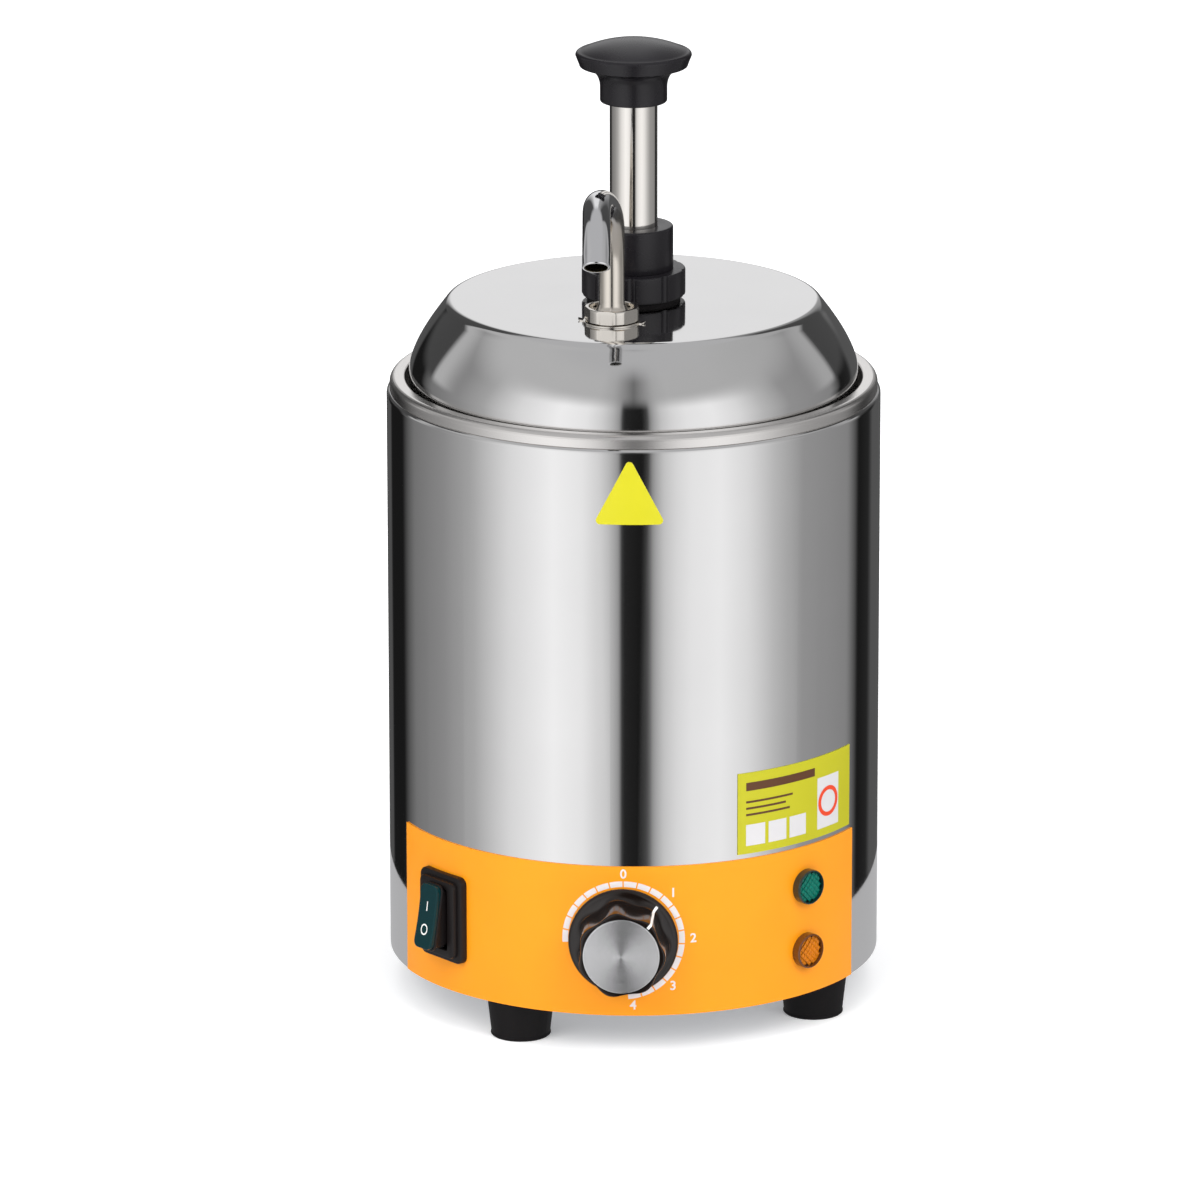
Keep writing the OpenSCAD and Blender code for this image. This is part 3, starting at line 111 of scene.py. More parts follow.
def finish_piece(name, bm, material, body, replaces=(), angle=35):
    """Turns a bmesh into an object that rides on a body."""
    bmesh.ops.remove_doubles(bm, verts=bm.verts, dist=WELD)
    bmesh.ops.recalc_face_normals(bm, faces=bm.faces)
    mesh = bpy.data.meshes.new(name)
    bm.to_mesh(mesh)
    bm.free()
    mesh.shade_smooth()
    mesh.set_sharp_from_angle(angle=math.radians(angle))
    mesh.materials.append(material)
    piece = bpy.data.objects.new(name, mesh)
    bpy.context.scene.collection.objects.link(piece)
    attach(piece, body)
    if replaces:
        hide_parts(*replaces)
    print(name, len(mesh.polygons), "faces")
    return piece


# %% [markdown]
# A turned piece starts as a profile in the XZ plane and is spun round Z, as a lathe would make it. Where a width is
# given, the sharp corners are then bevelled, because a real edge always catches a thin line of light.

# %% Turned pieces
ON_AXIS = 1e-6


def soften(bm, width, angle=35, segments=3):
    """Bevels every edge that is sharper than the angle."""
    sharp = [e for e in bm.edges if len(e.link_faces) == 2 and e.calc_face_angle(0) > math.radians(angle)]
    bmesh.ops.bevel(bm, geom=sharp, offset=width, segments=segments, profile=0.5, affect="EDGES",
                    material=-1, clamp_overlap=True)


def turned(profile, steps=192, soft=0.0):
    """Spins a closed profile of (radius, height) pairs a full turn about Z."""
    bm = bmesh.new()
    verts = [bm.verts.new((r, 0, z)) for r, z in profile]
    edges = [bm.edges.new((verts[i], verts[(i + 1) % len(verts)])) for i in range(len(verts))
             if max(profile[i][0], profile[(i + 1) % len(verts)][0]) > ON_AXIS]
    bmesh.ops.spin(bm, geom=verts + edges, cent=(0, 0, 0), axis=(0, 0, 1), angle=math.tau,
                   steps=steps, use_merge=True)
    bmesh.ops.remove_doubles(bm, verts=bm.verts, dist=WELD)
    bmesh.ops.recalc_face_normals(bm, faces=bm.faces)
    if soft:
        soften(bm, soft)
    return bm


def curve(a, b, c, steps=12):
    """Points of a smooth arc from a to c that is pulled towards b."""
    points = []
    for i in range(steps + 1):
        t = i / steps
        points.append(tuple((1 - t) ** 2 * p + 2 * t * (1 - t) * q + t * t * s for p, q, s in zip(a, b, c)))
    return points


# %% [markdown]
# ## Carrying a fitting to the wall
# Controls are modelled flat, facing up, and then carried to the round wall: their Z turns outward and
# their Y turns up. Printed marks are wrapped instead, so that they lie on the curved film.

# %% Placing on the wall
def wall_matrix(azimuth, radius, z):
    """From a flat drawing that faces +Z to the wall at an azimuth counted from the front."""
    return (Matrix.Rotation(math.radians(azimuth), 4, "Z") @ Matrix.Translation((0, -radius, z))
            @ Matrix.Rotation(math.radians(90), 4, "X"))


def wrap(bm, azimuth, z, radius):
    """Rolls a flat drawing onto the wall: x runs round it, y up and z outward."""
    for v in bm.verts:
        a = math.radians(azimuth) + v.co.x / radius
        r = radius + v.co.z
        v.co = Vector((r * math.sin(a), -r * math.cos(a), z + v.co.y))


def slice_upright(bm, pitch):
    """Cuts a flat drawing into upright strips, so that it can bend round the wall."""
    low = min(v.co.x for v in bm.verts)
    high = max(v.co.x for v in bm.verts)
    x = low + pitch
    while x < high:
        bmesh.ops.bisect_plane(bm, geom=bm.verts[:] + bm.edges[:] + bm.faces[:], plane_co=(x, 0, 0),
                               plane_no=(1, 0, 0))
        x += pitch


# %% [markdown]
# ## Effects that several finishes share
# A fine grain and the smudges of handling each recur, so each is a node group with its own inputs. A
# group puts out only colours and values, and the shader itself stays in the material.

# %% Node helpers
def group(name, inputs, outputs):
    """An empty shader node group with named value sockets."""
    tree = bpy.data.node_groups.new(name, "ShaderNodeTree")
    for label, kind, default in inputs:
        socket = tree.interface.new_socket(label, in_out="INPUT", socket_type=kind)
        socket.default_value = default
    for label, kind in outputs:
        tree.interface.new_socket(label, in_out="OUTPUT", socket_type=kind)
    return tree, tree.nodes.new("NodeGroupInput"), tree.nodes.new("NodeGroupOutput")


def add(tree, kind, **values):
    """A node with some of its settings and socket values given by name."""
    node = tree.nodes.new(kind)
    for key, value in values.items():
        if hasattr(node, key):
            setattr(node, key, value)
        else:
            node.inputs[key.replace("_", " ")].default_value = value
    return node


# A Mix node has sockets of the same names for numbers, vectors and colours. These are the colour ones.
MIX_A, MIX_B, MIXED = 6, 7, 2


def colour_mix(tree, a=None, b=None):
    """A mix of two colours, of which those given here are fixed."""
    node = add(tree, "ShaderNodeMix", data_type="RGBA")
    for socket, colour in ((MIX_A, a), (MIX_B, b)):
        if colour:
            node.inputs[socket].default_value = (*colour, 1)
    return node


def wire(tree, *links):
    """Joins nodes. Each link gives a node and its output, then the next node and its input."""
    for source, out, target, into in links:
        tree.links.new(source.outputs[out], target.inputs[into])


# %% [markdown]
# Grain is noise stretched along one direction. Stretching along Z gives the fine lines of sheet steel
# that was drawn upward, and a stretch across X and Y gives the rings of something turned.

# %% Grain group
grain_tree, grain_in, grain_out = group(
    "Grain", [("Across", "NodeSocketFloat", 900.0), ("Along", "NodeSocketFloat", 20.0)],
    [("Height", "NodeSocketFloat")])
coord = add(grain_tree, "ShaderNodeTexCoord")
stretch = add(grain_tree, "ShaderNodeCombineXYZ")
scaled = add(grain_tree, "ShaderNodeVectorMath", operation="MULTIPLY")
noise = add(grain_tree, "ShaderNodeTexNoise", Scale=1.0, Detail=4.0)
wire(grain_tree,
     (grain_in, "Across", stretch, "X"),
     (grain_in, "Across", stretch, "Y"),
     (grain_in, "Along", stretch, "Z"),
     (coord, "Object", scaled, 0),
     (stretch, "Vector", scaled, 1),
     (scaled, "Vector", noise, "Vector"),
     (noise, "Fac", grain_out, "Height"))

# %% [markdown]
# Handling leaves faint smudges on polished metal and on plastic. Broad soft noise lifts the roughness a
# little here and there and changes the colour by a few hundredths.

# %% Handling group
smudge_tree, smudge_in, smudge_out = group(
    "Handling", [("Colour", "NodeSocketColor", (0.5, 0.5, 0.5, 1.0)), ("Scale", "NodeSocketFloat", 30.0),
                 ("Low", "NodeSocketFloat", 0.05), ("High", "NodeSocketFloat", 0.08),
                 ("Shade", "NodeSocketFloat", 0.94)],
    [("Colour", "NodeSocketColor"), ("Roughness", "NodeSocketFloat")])
coord = add(smudge_tree, "ShaderNodeTexCoord")
noise = add(smudge_tree, "ShaderNodeTexNoise", Detail=5.0)
spread = add(smudge_tree, "ShaderNodeMapRange")
shade = add(smudge_tree, "ShaderNodeMapRange", To_Max=1.0)
tint = add(smudge_tree, "ShaderNodeVectorMath", operation="SCALE")
wire(smudge_tree,
     (coord, "Object", noise, "Vector"),
     (smudge_in, "Scale", noise, "Scale"),
     (noise, "Fac", spread, "Value"),
     (smudge_in, "Low", spread, "To Min"),
     (smudge_in, "High", spread, "To Max"),
     (noise, "Fac", shade, "Value"),
     (smudge_in, "Shade", shade, "To Min"),
     (smudge_in, "Colour", tint, 0),
     (shade, "Result", tint, "Scale"),
     (tint, "Vector", smudge_out, "Colour"),
     (spread, "Result", smudge_out, "Roughness"))

# %% [markdown]
# ## Finishes
# Each finish is one Principled shader. Metal takes its look from what it reflects, so its colour stays
# pale and plain, and only roughness and bump vary. Plastic and rubber get a fine moulded texture.

# %% Material makers
GRAIN_DEEP = 0.2 * MM


def new_material(name, **sockets):
    """A material with its Principled shader, whose plain socket values are set directly."""
    material = bpy.data.materials.new(name)
    material.use_nodes = True
    shader = material.node_tree.nodes["Principled BSDF"]
    for key, value in sockets.items():
        shader.inputs[key.replace("_", " ")].default_value = value
    return material, material.node_tree, shader


def handled(tree, shader, colour, low, high, scale=30.0, shade=0.94):
    """Feeds colour and roughness from the Handling group."""
    node = add(tree, "ShaderNodeGroup", node_tree=smudge_tree, Colour=(*colour, 1), Scale=scale, Low=low,
               High=high, Shade=shade)
    wire(tree, (node, "Colour", shader, "Base Color"), (node, "Roughness", shader, "Roughness"))


def grained(tree, shader, across, along, bump):
    """Feeds a fine bump from the Grain group."""
    node = add(tree, "ShaderNodeGroup", node_tree=grain_tree, Across=across, Along=along)
    raised = add(tree, "ShaderNodeBump", Strength=bump, Distance=GRAIN_DEEP)
    wire(tree, (node, "Height", raised, "Height"), (raised, "Normal", shader, "Normal"))


def metal(name, colour, low, high, across=900.0, along=20.0, bump=0.02):
    material, tree, shader = new_material(name, Metallic=1.0)
    handled(tree, shader, colour, low, high)
    grained(tree, shader, across, along, bump)
    return material


def moulded(name, colour, low, high, grain=1800.0, bump=0.15, **sockets):
    material, tree, shader = new_material(name, **sockets)
    handled(tree, shader, colour, low, high, shade=0.85)
    grained(tree, shader, grain, grain, bump)
    return material


# %% [markdown]
# Each colour below is a linear value, chosen so that the render shows what the photograph shows. The steel
# is one metal in several finishes, because a mirror-like casing, a drawn tube and a brushed lip differ only
# in how rough they are and which way the grain runs.

# %% One material for each slot of the record
FINISH = {
    "polished_steel": metal("Polished steel", (0.88, 0.875, 0.87), 0.045, 0.075, bump=0.002),
    "tube_steel": metal("Tube steel", (0.98, 0.945, 0.895), 0.07, 0.11, across=1400, along=30, bump=0.01),
    "brushed_steel": metal("Brushed steel", (0.94, 0.915, 0.89), 0.22, 0.30, across=60, along=2600, bump=0.06),
    "machined_steel": metal("Machined steel", (0.84, 0.80, 0.74), 0.09, 0.15, across=60, along=3000, bump=0.04),
    # The spout's bore is the same steel as the rest. Its dark brown colour is painted shade inside the tube.
    "bore_painted_shade": metal("Spout bore painted shade", (0.12, 0.10, 0.06), 0.30, 0.42),
    "spring_steel": metal("Spring steel", (0.60, 0.60, 0.60), 0.25, 0.35),
    "zinc_plate": metal("Zinc plate", (0.62, 0.64, 0.67), 0.30, 0.45, across=120, along=120, bump=0.05),
    "zinc_fastener": metal("Zinc fastener", (0.60, 0.60, 0.62), 0.25, 0.38),
    "cast_aluminium": metal("Cast aluminium", (0.70, 0.70, 0.70), 0.45, 0.60, across=700, along=700, bump=0.3),
    "copper": metal("Copper", (0.72, 0.42, 0.28), 0.25, 0.38),
    "brass": metal("Brass", (0.75, 0.60, 0.30), 0.22, 0.34),
    "element_sheath": metal("Dark sheath", (0.16, 0.15, 0.15), 0.40, 0.55, across=500, along=500, bump=0.1),
    "orange_film": moulded("Orange film", (0.98, 0.335, 0.006), 0.32, 0.40, grain=2600, bump=0.04,
                           Specular_IOR_Level=0.3),
    "yellow_sticker": moulded("Yellow sticker", (0.59, 0.55, 0.008), 0.25, 0.33, grain=900, bump=0.02),
    "label_paper": moulded("Label", (0.51, 0.49, 0.006), 0.25, 0.33, grain=900, bump=0.02),
    "black_rubber": moulded("Black rubber", (0.006, 0.005, 0.0055), 0.60, 0.75, grain=1100, bump=0.25,
                            Specular_IOR_Level=0.25),
    "black_plastic": moulded("Black plastic", (0.007, 0.005, 0.005), 0.34, 0.46, grain=2200, bump=0.2,
                             Specular_IOR_Level=0.35),
    "satin_black": moulded("Satin black", (0.009, 0.008, 0.010), 0.22, 0.34, grain=1500, bump=0.12,
                           Specular_IOR_Level=0.4),
    "green_lens": moulded("Rocker lens", (0.002, 0.026, 0.030), 0.12, 0.18, bump=0.02,
                          Specular_IOR_Level=0.25),
    "green_lamp": moulded("Green lamp", (0.001, 0.155, 0.11), 0.12, 0.18, bump=0.02, Specular_IOR_Level=0.25),
    "amber_lamp": moulded("Amber lamp", (0.62, 0.18, 0.002), 0.12, 0.18, bump=0.02, Specular_IOR_Level=0.25),
    "ivory_plastic": moulded("Ivory plastic", (0.78, 0.74, 0.62), 0.40, 0.50),
    "white_plastic": moulded("White plastic", (0.82, 0.82, 0.80), 0.38, 0.48),
    "white_mark": moulded("White mark", (0.88, 0.88, 0.86), 0.40, 0.50, bump=0.02),
    "dial_black": moulded("Dial black", (0.008, 0.005, 0.004), 0.09, 0.15, grain=2200, bump=0.03, Coat_Weight=0.1),
    "print_pale": moulded("Pale print", (0.80, 0.74, 0.74), 0.40, 0.50, bump=0.02),
    "green_ring": moulded("Green lamp ring", (0.004, 0.020, 0.018), 0.14, 0.22, bump=0.02, Coat_Weight=0.6),
    "amber_ring": moulded("Amber lamp ring", (0.11, 0.034, 0.006), 0.14, 0.22, bump=0.02, Coat_Weight=0.6),
    "label_ink": moulded("Label ink", (0.10, 0.035, 0.01), 0.40, 0.50, bump=0.02),
    "label_white": moulded("Label white", (0.66, 0.65, 0.66), 0.35, 0.45, bump=0.02),
    "label_red": moulded("Label red", (0.80, 0.055, 0.008), 0.35, 0.45, bump=0.02),
}

# %% [markdown]
# The spun cap of the dial shows bright spokes that stay put as it is turned by the light. They come from
# fine rings, cut round its middle, so the bump follows the distance from the dial's axis.

# %% Spun aluminium
aluminium, tree, shader = new_material("Spun aluminium", Metallic=1.0, Roughness=0.24, Anisotropic=1.0,
                                       Anisotropic_Rotation=0.25, Base_Color=(0.94, 0.94, 0.95, 1))
coord = add(tree, "ShaderNodeTexCoord")
centre = add(tree, "ShaderNodeMapping", Location=(0, 0, -dial_z))
flat = add(tree, "ShaderNodeVectorMath", operation="MULTIPLY")
flat.inputs[1].default_value = (1, 0, 1)
radius = add(tree, "ShaderNodeVectorMath", operation="LENGTH")
rings = add(tree, "ShaderNodeTexNoise", noise_dimensions="1D", Scale=5200.0, Detail=2.0)
raised = add(tree, "ShaderNodeBump", Strength=0.25, Distance=0.0001)
around = add(tree, "ShaderNodeTangent", direction_type="RADIAL", axis="Y")
wire(tree,
     (coord, "Object", centre, "Vector"),
     (centre, "Vector", flat, 0),
     (flat, "Vector", radius, 0),
     (radius, "Value", rings, "W"),
     (rings, "Fac", raised, "Height"),
     (raised, "Normal", shader, "Normal"),
     (around, "Tangent", shader, "Tangent"))
FINISH["spun_aluminium"] = aluminium

# %% [markdown]
# The spout is polished where it comes down, and still carries the fine grain of the drawn tube where it
# rises from the nut. The change goes by the distance in front of the riser.

# %% Spout steel
riser_low, riser_high = span("discharge_tube")
riser = Vector(((riser_low.x + riser_high.x) / 2, (riser_low.y + riser_high.y) / 2, 0))
spout_steel, tree, shader = new_material("Spout steel", Metallic=1.0)
grained(tree, shader, across=1400.0, along=30.0, bump=0.03)
coord = add(tree, "ShaderNodeTexCoord")
split = add(tree, "ShaderNodeSeparateXYZ")
drawn = add(tree, "ShaderNodeMapRange", interpolation_type="SMOOTHSTEP", From_Min=riser.y - 26 * MM,
            From_Max=riser.y - 8 * MM)
rough = add(tree, "ShaderNodeMapRange", To_Min=0.06, To_Max=0.17)
tone = colour_mix(tree, a=(0.86, 0.86, 0.87), b=(0.84, 0.78, 0.70))
wire(tree,
     (coord, "Object", split, "Vector"),
     (split, "Y", drawn, "Value"),
     (drawn, "Result", rough, "Value"),
     (drawn, "Result", tone, "Factor"),
     (rough, "Result", shader, "Roughness"),
     (tone, MIXED, shader, "Base Color"))

# %% [markdown]
# Every node now gets the finish of its slot. The drawn pump tube is a little warmer and less mirror-like
# than the other pieces of its slot, so it has a finish of its own.

# %% Dress every node of the frame
OWN_FINISH = {"plunger_tube": "tube_steel"}
for part in frame["record"]["subparts"]:
    shown = nodes[part["node"]]
    shown.data.materials.clear()
    shown.data.materials.append(FINISH[OWN_FINISH.get(part["node"], part["material_slot"])])
print("finishes:", len(FINISH))

# %% [markdown]
# ## Turned pieces of the lid and the pump
# The lid, the knob, the bush and the collar are lathe work. Each profile is drawn from shares of the
# radius and the height that the frame gives, with softer curves than the frame's short straight steps.

# %% Lid
BORE = 9.35 * MM
SHEET = 1.0 * MM


def lid_side(r, h):
    """The lid's side from the skirt up to the flat top, in shares of radius and height."""
    skirt, belly, shoulder, brow, top = [(out * r, up * h) for out, up in (
        (1, 0.345), (0.984, 0.571), (0.846, 0.94), (0.829, 1), (0.8, 1))]
    return curve(skirt, belly, shoulder, 26) + curve(shoulder, brow, top, 12)[1:]


lid_h = lid_high.z - lid_low.z
neck = 14.55 * MM
profile = [(lid_r - 0.7 * SHEET, 0), (lid_r, 0.4 * SHEET)] + lid_side(lid_r, lid_h) + [(neck, lid_h)]
profile += [(neck, lid_h - SHEET)] + lid_side(lid_r - SHEET, lid_h - SHEET)[::-1] + [(lid_r - SHEET, 0.4 * SHEET)]
bm = turned(profile, steps=288)
carry(bm, Matrix.Translation((0, 0, lid_low.z)))
finish_piece("lid_shell", bm, FINISH["polished_steel"], "lid", ["lid"])

# %% [markdown]
# The knob is a moulded mushroom with a socket for the tube. Only its rim is crisp. The waist and the dome
# are long curves, so that the highlight runs over them without a step.

# %% Plunger knob
knob_r, knob_h = knob_high.x, knob_high.z - knob_low.z
neck, edge, socket = 13.2 * MM, 1.0 * MM, 12 * MM


def knob_point(out, up):
    return (out * knob_r, up * knob_h)


lip, side, crown = knob_point(0.935, 0.60), knob_point(1, 0.752), knob_point(0.93, 0.815)
profile = [(BORE, 0)] + curve((neck - edge, 0), (neck, 0), (neck, edge), 5)
profile += curve((neck, 0.254 * knob_h), knob_point(0.596, 0.53), knob_point(0.9, 0.575), 26)
profile += curve(knob_point(0.92, 0.578), knob_point(0.935, 0.58), lip, 5)
profile += curve(side, knob_point(1, 0.803), crown, 12)
profile += curve(crown, knob_point(0.48, 1), (0, knob_h), 26)[1:]
profile += [(0, socket), (BORE, socket)]
bm = turned(profile, steps=256, soft=0.25 * MM)
carry(bm, Matrix.Translation((0, 0, knob_low.z)))
finish_piece("knob", bm, FINISH["satin_black"], "plunger", ["plunger_knob"])


# %% [markdown]
# Some turned pieces are then milled: flats on a nut, grooves in a collar, lobes on a grip. Milling here
# pulls in every point that lies further out than the cutter leaves it at that angle.

# %% Milling
def reshape(bm, rule):
    """Moves each point to the radius that the rule gives for its own radius, height and angle round Z."""
    for v in bm.verts:
        r = math.hypot(v.co.x, v.co.y)
        if r > ON_AXIS:
            share = rule(r, v.co.z, math.atan2(v.co.y, v.co.x)) / r
            v.co.x *= share
            v.co.y *= share


def mill(bm, limit):
    """Pulls points in to the radius that the cutter leaves at their angle."""
    reshape(bm, lambda r, z, angle: min(r, limit(angle)))


def off_nearest(angle, count, first=0.0):
    """The angle to the nearest of evenly spaced features."""
    step = math.tau / count
    return (angle - first + step / 2) % step - step / 2


def fluted(angle, radius, count, cutter, depth, first=0.0):
    """The radius left by a round cutter that grooves a bar."""
    centre = radius + cutter - depth
    off = off_nearest(angle, count, first)
    across = centre * math.sin(off)
    if abs(across) >= cutter:
        return radius
    return min(radius, centre * math.cos(off) - math.sqrt(cutter ** 2 - across ** 2))


# %% [markdown]
# The bush is a flanged ring that guides the tube. The collar under it locks the pump in the lid, and nine
# grooves round it give the fingers a hold.

# %% Bush and lock collar
lock_low, lock_high = span("lock_collar")
bush_low, bush_high = span("stem_bush")
bush_r, spigot, chamfer = bush_high.x, 13.45 * MM, 1.0 * MM
profile = [(BORE, bush_low.z), (spigot, bush_low.z), (spigot, lock_high.z), (bush_r, lock_high.z)]
profile += curve((bush_r, bush_high.z - chamfer), (bush_r, bush_high.z), (bush_r - chamfer, bush_high.z), 6)
profile += [(BORE, bush_high.z)]
finish_piece("bush", turned(profile, steps=192, soft=0.2 * MM), FINISH["satin_black"], "lid",
             ["stem_bush"])

LOCK_R, LOCK_BORE, GROOVES, CUTTER, CUT = 20.4 * MM, 14.3 * MM, 9, 2.2 * MM, 1.1 * MM
low, high = lock_low.z, lock_high.z
profile = [(LOCK_BORE, low)] + curve((LOCK_R - chamfer, low), (LOCK_R, low), (LOCK_R, low + chamfer), 5)
profile += [(LOCK_R, low + (high - low) * k / 4) for k in (1, 2, 3)]
profile += curve((LOCK_R, high - chamfer), (LOCK_R, high), (LOCK_R - chamfer, high), 5) + [(LOCK_BORE, high)]
bm = turned(profile, steps=540)
mill(bm, lambda a: fluted(a, LOCK_R, GROOVES, CUTTER, CUT, -math.pi / 2))
finish_piece("collar", bm, FINISH["satin_black"], "lid", ["lock_collar"])

# %% [markdown]
# ## Nut, washer and spout
# The nut is a turned ring with six flats milled on, so its chamfer meets the flats in the arcs that a
# real nut shows. It stands over the riser, the tube that comes up through the lid.

# %% Spout nut
RISER_AZIMUTH = -9.9


def on_riser(z, azimuth):
    """Stands a piece on the riser's axis at a height, turned round Z."""
    return Matrix.Translation((riser.x, riser.y, z)) @ Matrix.Rotation(math.radians(azimuth), 4, "Z")


nut_low, nut_high = span("spout_nut")
FLATS, height, corner, mouth, bore = 20.0 * MM, nut_high.z - nut_low.z, 10.7 * MM, 8.8 * MM, 6.55 * MM
round_off, break_edge, recess = 0.9 * MM, 0.3 * MM, 2.4 * MM
profile = [(bore, 0), (corner - 0.5 * MM, 0), (corner, break_edge), (corner, height - round_off)]
profile += curve((corner, height - round_off), (corner, height), (corner - round_off, height), 7)[1:]
profile += [(mouth + break_edge, height), (mouth, height - break_edge), (mouth, height - recess),
            (bore, height - recess)]
bm = turned(profile, steps=360)
mill(bm, lambda a: min(FLATS / 2 / math.cos(off_nearest(a, 6, math.pi / 6)), corner))
carry(bm, on_riser(nut_low.z, RISER_AZIMUTH))
finish_piece("spout_nut_milled", bm, FINISH["machined_steel"], "lid", ["spout_nut"], angle=30)

# %% [markdown]
# The washer is stamped from sheet, and two lugs stand out of it and bend up. Each lug is a small grid that
# is pushed into a round-ended tongue and then given a thickness.

# %% Washer with two lugs
washer_low = span("spout_washer")[0]
thick, bore, rim = 0.7 * MM, 6.6 * MM, 11.2 * MM
LUG_START, LUG_LENGTH, LUG_HALF, LUG_THICK, LUG_LIFT, LUG_BEND = 10.4, 3.0, 1.5, 0.5, 0.35, 0.7
ROUND_FROM, ROUNDING = 0.6, 0.165
bm = turned([(bore, 0), (rim, 0), (rim, thick), (bore, thick)], steps=144, soft=0.15 * MM)
for side in (-1, 1):
    made = bmesh.ops.create_grid(bm, x_segments=8, y_segments=8, size=1.0)["verts"]
    for v in made:
        along, across = (v.co.x + 1) / 2, v.co.y
        half = LUG_HALF * math.sqrt(max(0.0, 1 - max(0.0, along - ROUND_FROM) ** 2 / ROUNDING))
        v.co = Vector((side * (LUG_START + LUG_LENGTH * along), across * half, LUG_LIFT + LUG_BEND * along ** 3)) * MM
    faces = [f for f in bm.faces if all(v in set(made) for v in f.verts)]
    bmesh.ops.solidify(bm, geom=faces, thickness=LUG_THICK * MM)
carry(bm, on_riser(washer_low.z, RISER_AZIMUTH))
finish_piece("spout_washer_stamped", bm, FINISH["machined_steel"], "lid", ["spout_washer"])

# %% [markdown]
# The spout is a tube bent by hand: it rises, goes over and down, and drifts a little to one side, where it
# is also slightly flattened. A ring is pulled along its path, station by station, in millimetres. It goes
# out along the outer wall, turns in at the mouth, comes back inside and meets its own start.

# %% Path of the spout
SPOUT_AZIMUTH, BEND, TURN, STRAIGHT, DRIFT, FLATTEN = 2.3, 36.0, 141.0, 5.0, 5.7, 0.08
DRIFT_FROM, DRIFT_TO = 30.0, 105.0
TUBE, WALL, FOOT, FLARE, RISE, MOUTH = 5.0, 1.0, 7.4, 4.0, 15.2, 0.25
spout_low = span("spout")[0]


def drifted(turn):
    """The share of the sideways drift that is done after a part of the bend."""
    done = min(max((turn - DRIFT_FROM) / (DRIFT_TO - DRIFT_FROM), 0), 1)
    return (1 - math.cos(math.pi * done)) / 2


def spout_path():
    """Stations along the spout in millimetres: centre, turn in degrees and radius."""
    path = [((0, 0, FLARE * k / 8), 0.0, TUBE + (FOOT - TUBE) * (1 - k / 8) ** 2) for k in range(9)]
    for k in range(97):
        t = TURN * k / 96
        a = math.radians(t)
        path.append(((BEND * (1 - math.cos(a)), -DRIFT * drifted(t), RISE + BEND * math.sin(a)), t, TUBE))
    x, y, z = path[-1][0]
    a = math.radians(TURN)
    for along, radius in ((STRAIGHT - 0.9, TUBE), (STRAIGHT - 0.5, TUBE + 0.06), (STRAIGHT - 0.15, TUBE - 0.02),
                          (STRAIGHT, TUBE - 0.22)):
        path.append(((x + along * math.sin(a), y, z + along * math.cos(a)), TURN, radius))
    return path


# %% Spout
SIDES_ROUND = 72


def loft(bm, stations):
    """Pulls one ring of edges from station to station. Each station lists where the ring's points go."""
    start = bmesh.ops.create_circle(bm, segments=len(stations[0]), radius=1.0)["verts"]
    place = {v: i for i, v in enumerate(start)}
    ring = [e for e in bm.edges if e.verts[0] in place]
    for n, points in enumerate(stations):
        if n:
            made = bmesh.ops.extrude_edge_only(bm, edges=ring)["geom"]
            place = {v: place[next(e.other_vert(v) for e in v.link_edges if e.other_vert(v) in place)]
                     for v in made if isinstance(v, bmesh.types.BMVert)}
            ring = [e for e in made if isinstance(e, bmesh.types.BMEdge) and all(v in place for v in e.verts)]
        for v, i in place.items():
            v.co = points[i]


def tube_ring(centre, turn, radius):
    """The points round the tube at one station."""
    a, share = math.radians(turn), FLATTEN * drifted(turn)
    points = []
    for k in range(SIDES_ROUND):
        round_it = math.tau * k / SIDES_ROUND
        across, along = radius * math.cos(round_it) * (1 + share), radius * math.sin(round_it) * (1 - share)
        points.append(Vector((centre[0] - along * math.cos(a), centre[1] + across, centre[2] + along * math.sin(a))))
    return points


bm = bmesh.new()
outer = spout_path()
inner = [(centre, turn, TUBE - WALL) for centre, turn, radius in outer]
inner[-1] = (*inner[-1][:2], TUBE - WALL + MOUTH)
loft(bm, [tube_ring(*station) for station in outer + inner[::-1] + outer[:1]])
# The inner wall and the foot's end take the second material, whose dark brown is painted shade inside the bore.
for i, face in enumerate(bm.faces):
    face.material_index = int(i >= SIDES_ROUND * len(outer))
carry(bm, on_riser(spout_low.z, SPOUT_AZIMUTH - 90) @ Matrix.Scale(MM, 4))
tube = finish_piece("spout_tube", bm, spout_steel, "lid", ["spout"], angle=50)
tube.data.materials.append(FINISH["bore_painted_shade"])
print("spout box", [round((b - a) / MM, 1) for a, b in zip(*span("spout"))])

# %% [markdown]
# ## The temperature dial
# The dial is modelled facing up and carried to the front of the casing, turned to the angle at which it
# rests. A glossy skirt carries a lobed grip, and the cap sits in a shallow seat at the front.

# %% Dial grip
POINTER = -42.0
REST = Matrix.Rotation(math.radians(POINTER), 4, "Z")
to_dial = wall_matrix(0, film_r, dial_z) @ REST
SKIRT, GRIP, LOBES, VALLEY = 21.5 * MM, 17.6 * MM, 7, 1.6 * MM
DEPTH, CAP_R, SEAT, POCKET_R, SHAFT_R = 20.0 * MM, 15.0 * MM, 1.6 * MM, 12.5 * MM, 3.05 * MM
FLARE_LOW, FLARE_TOP, FLARE_R, FRONT = 2.9 * MM, 5.0 * MM, GRIP + 0.3 * MM, GRIP - 0.3 * MM
BACK, POCKET, EDGE = 1 * MM, 6 * MM, 1.0 * MM


def lobed(angle):
    """The outline of the grip: soft lobes, with the pointer on one of them."""
    return GRIP - VALLEY * (1 - math.cos(LOBES * (angle - math.radians(90)))) / 2


def gripped(r, z, angle):
    """Where a point of the turned profile ends up once the lobes are moulded at its angle."""
    if r < CAP_R + 0.2 * MM or z < FLARE_LOW:
        return r
    share = min(1.0, (z - FLARE_LOW) / (1.1 * MM)) * min(1.0, (r - CAP_R) / (GRIP - CAP_R))
    return r - (GRIP - lobed(angle)) * share


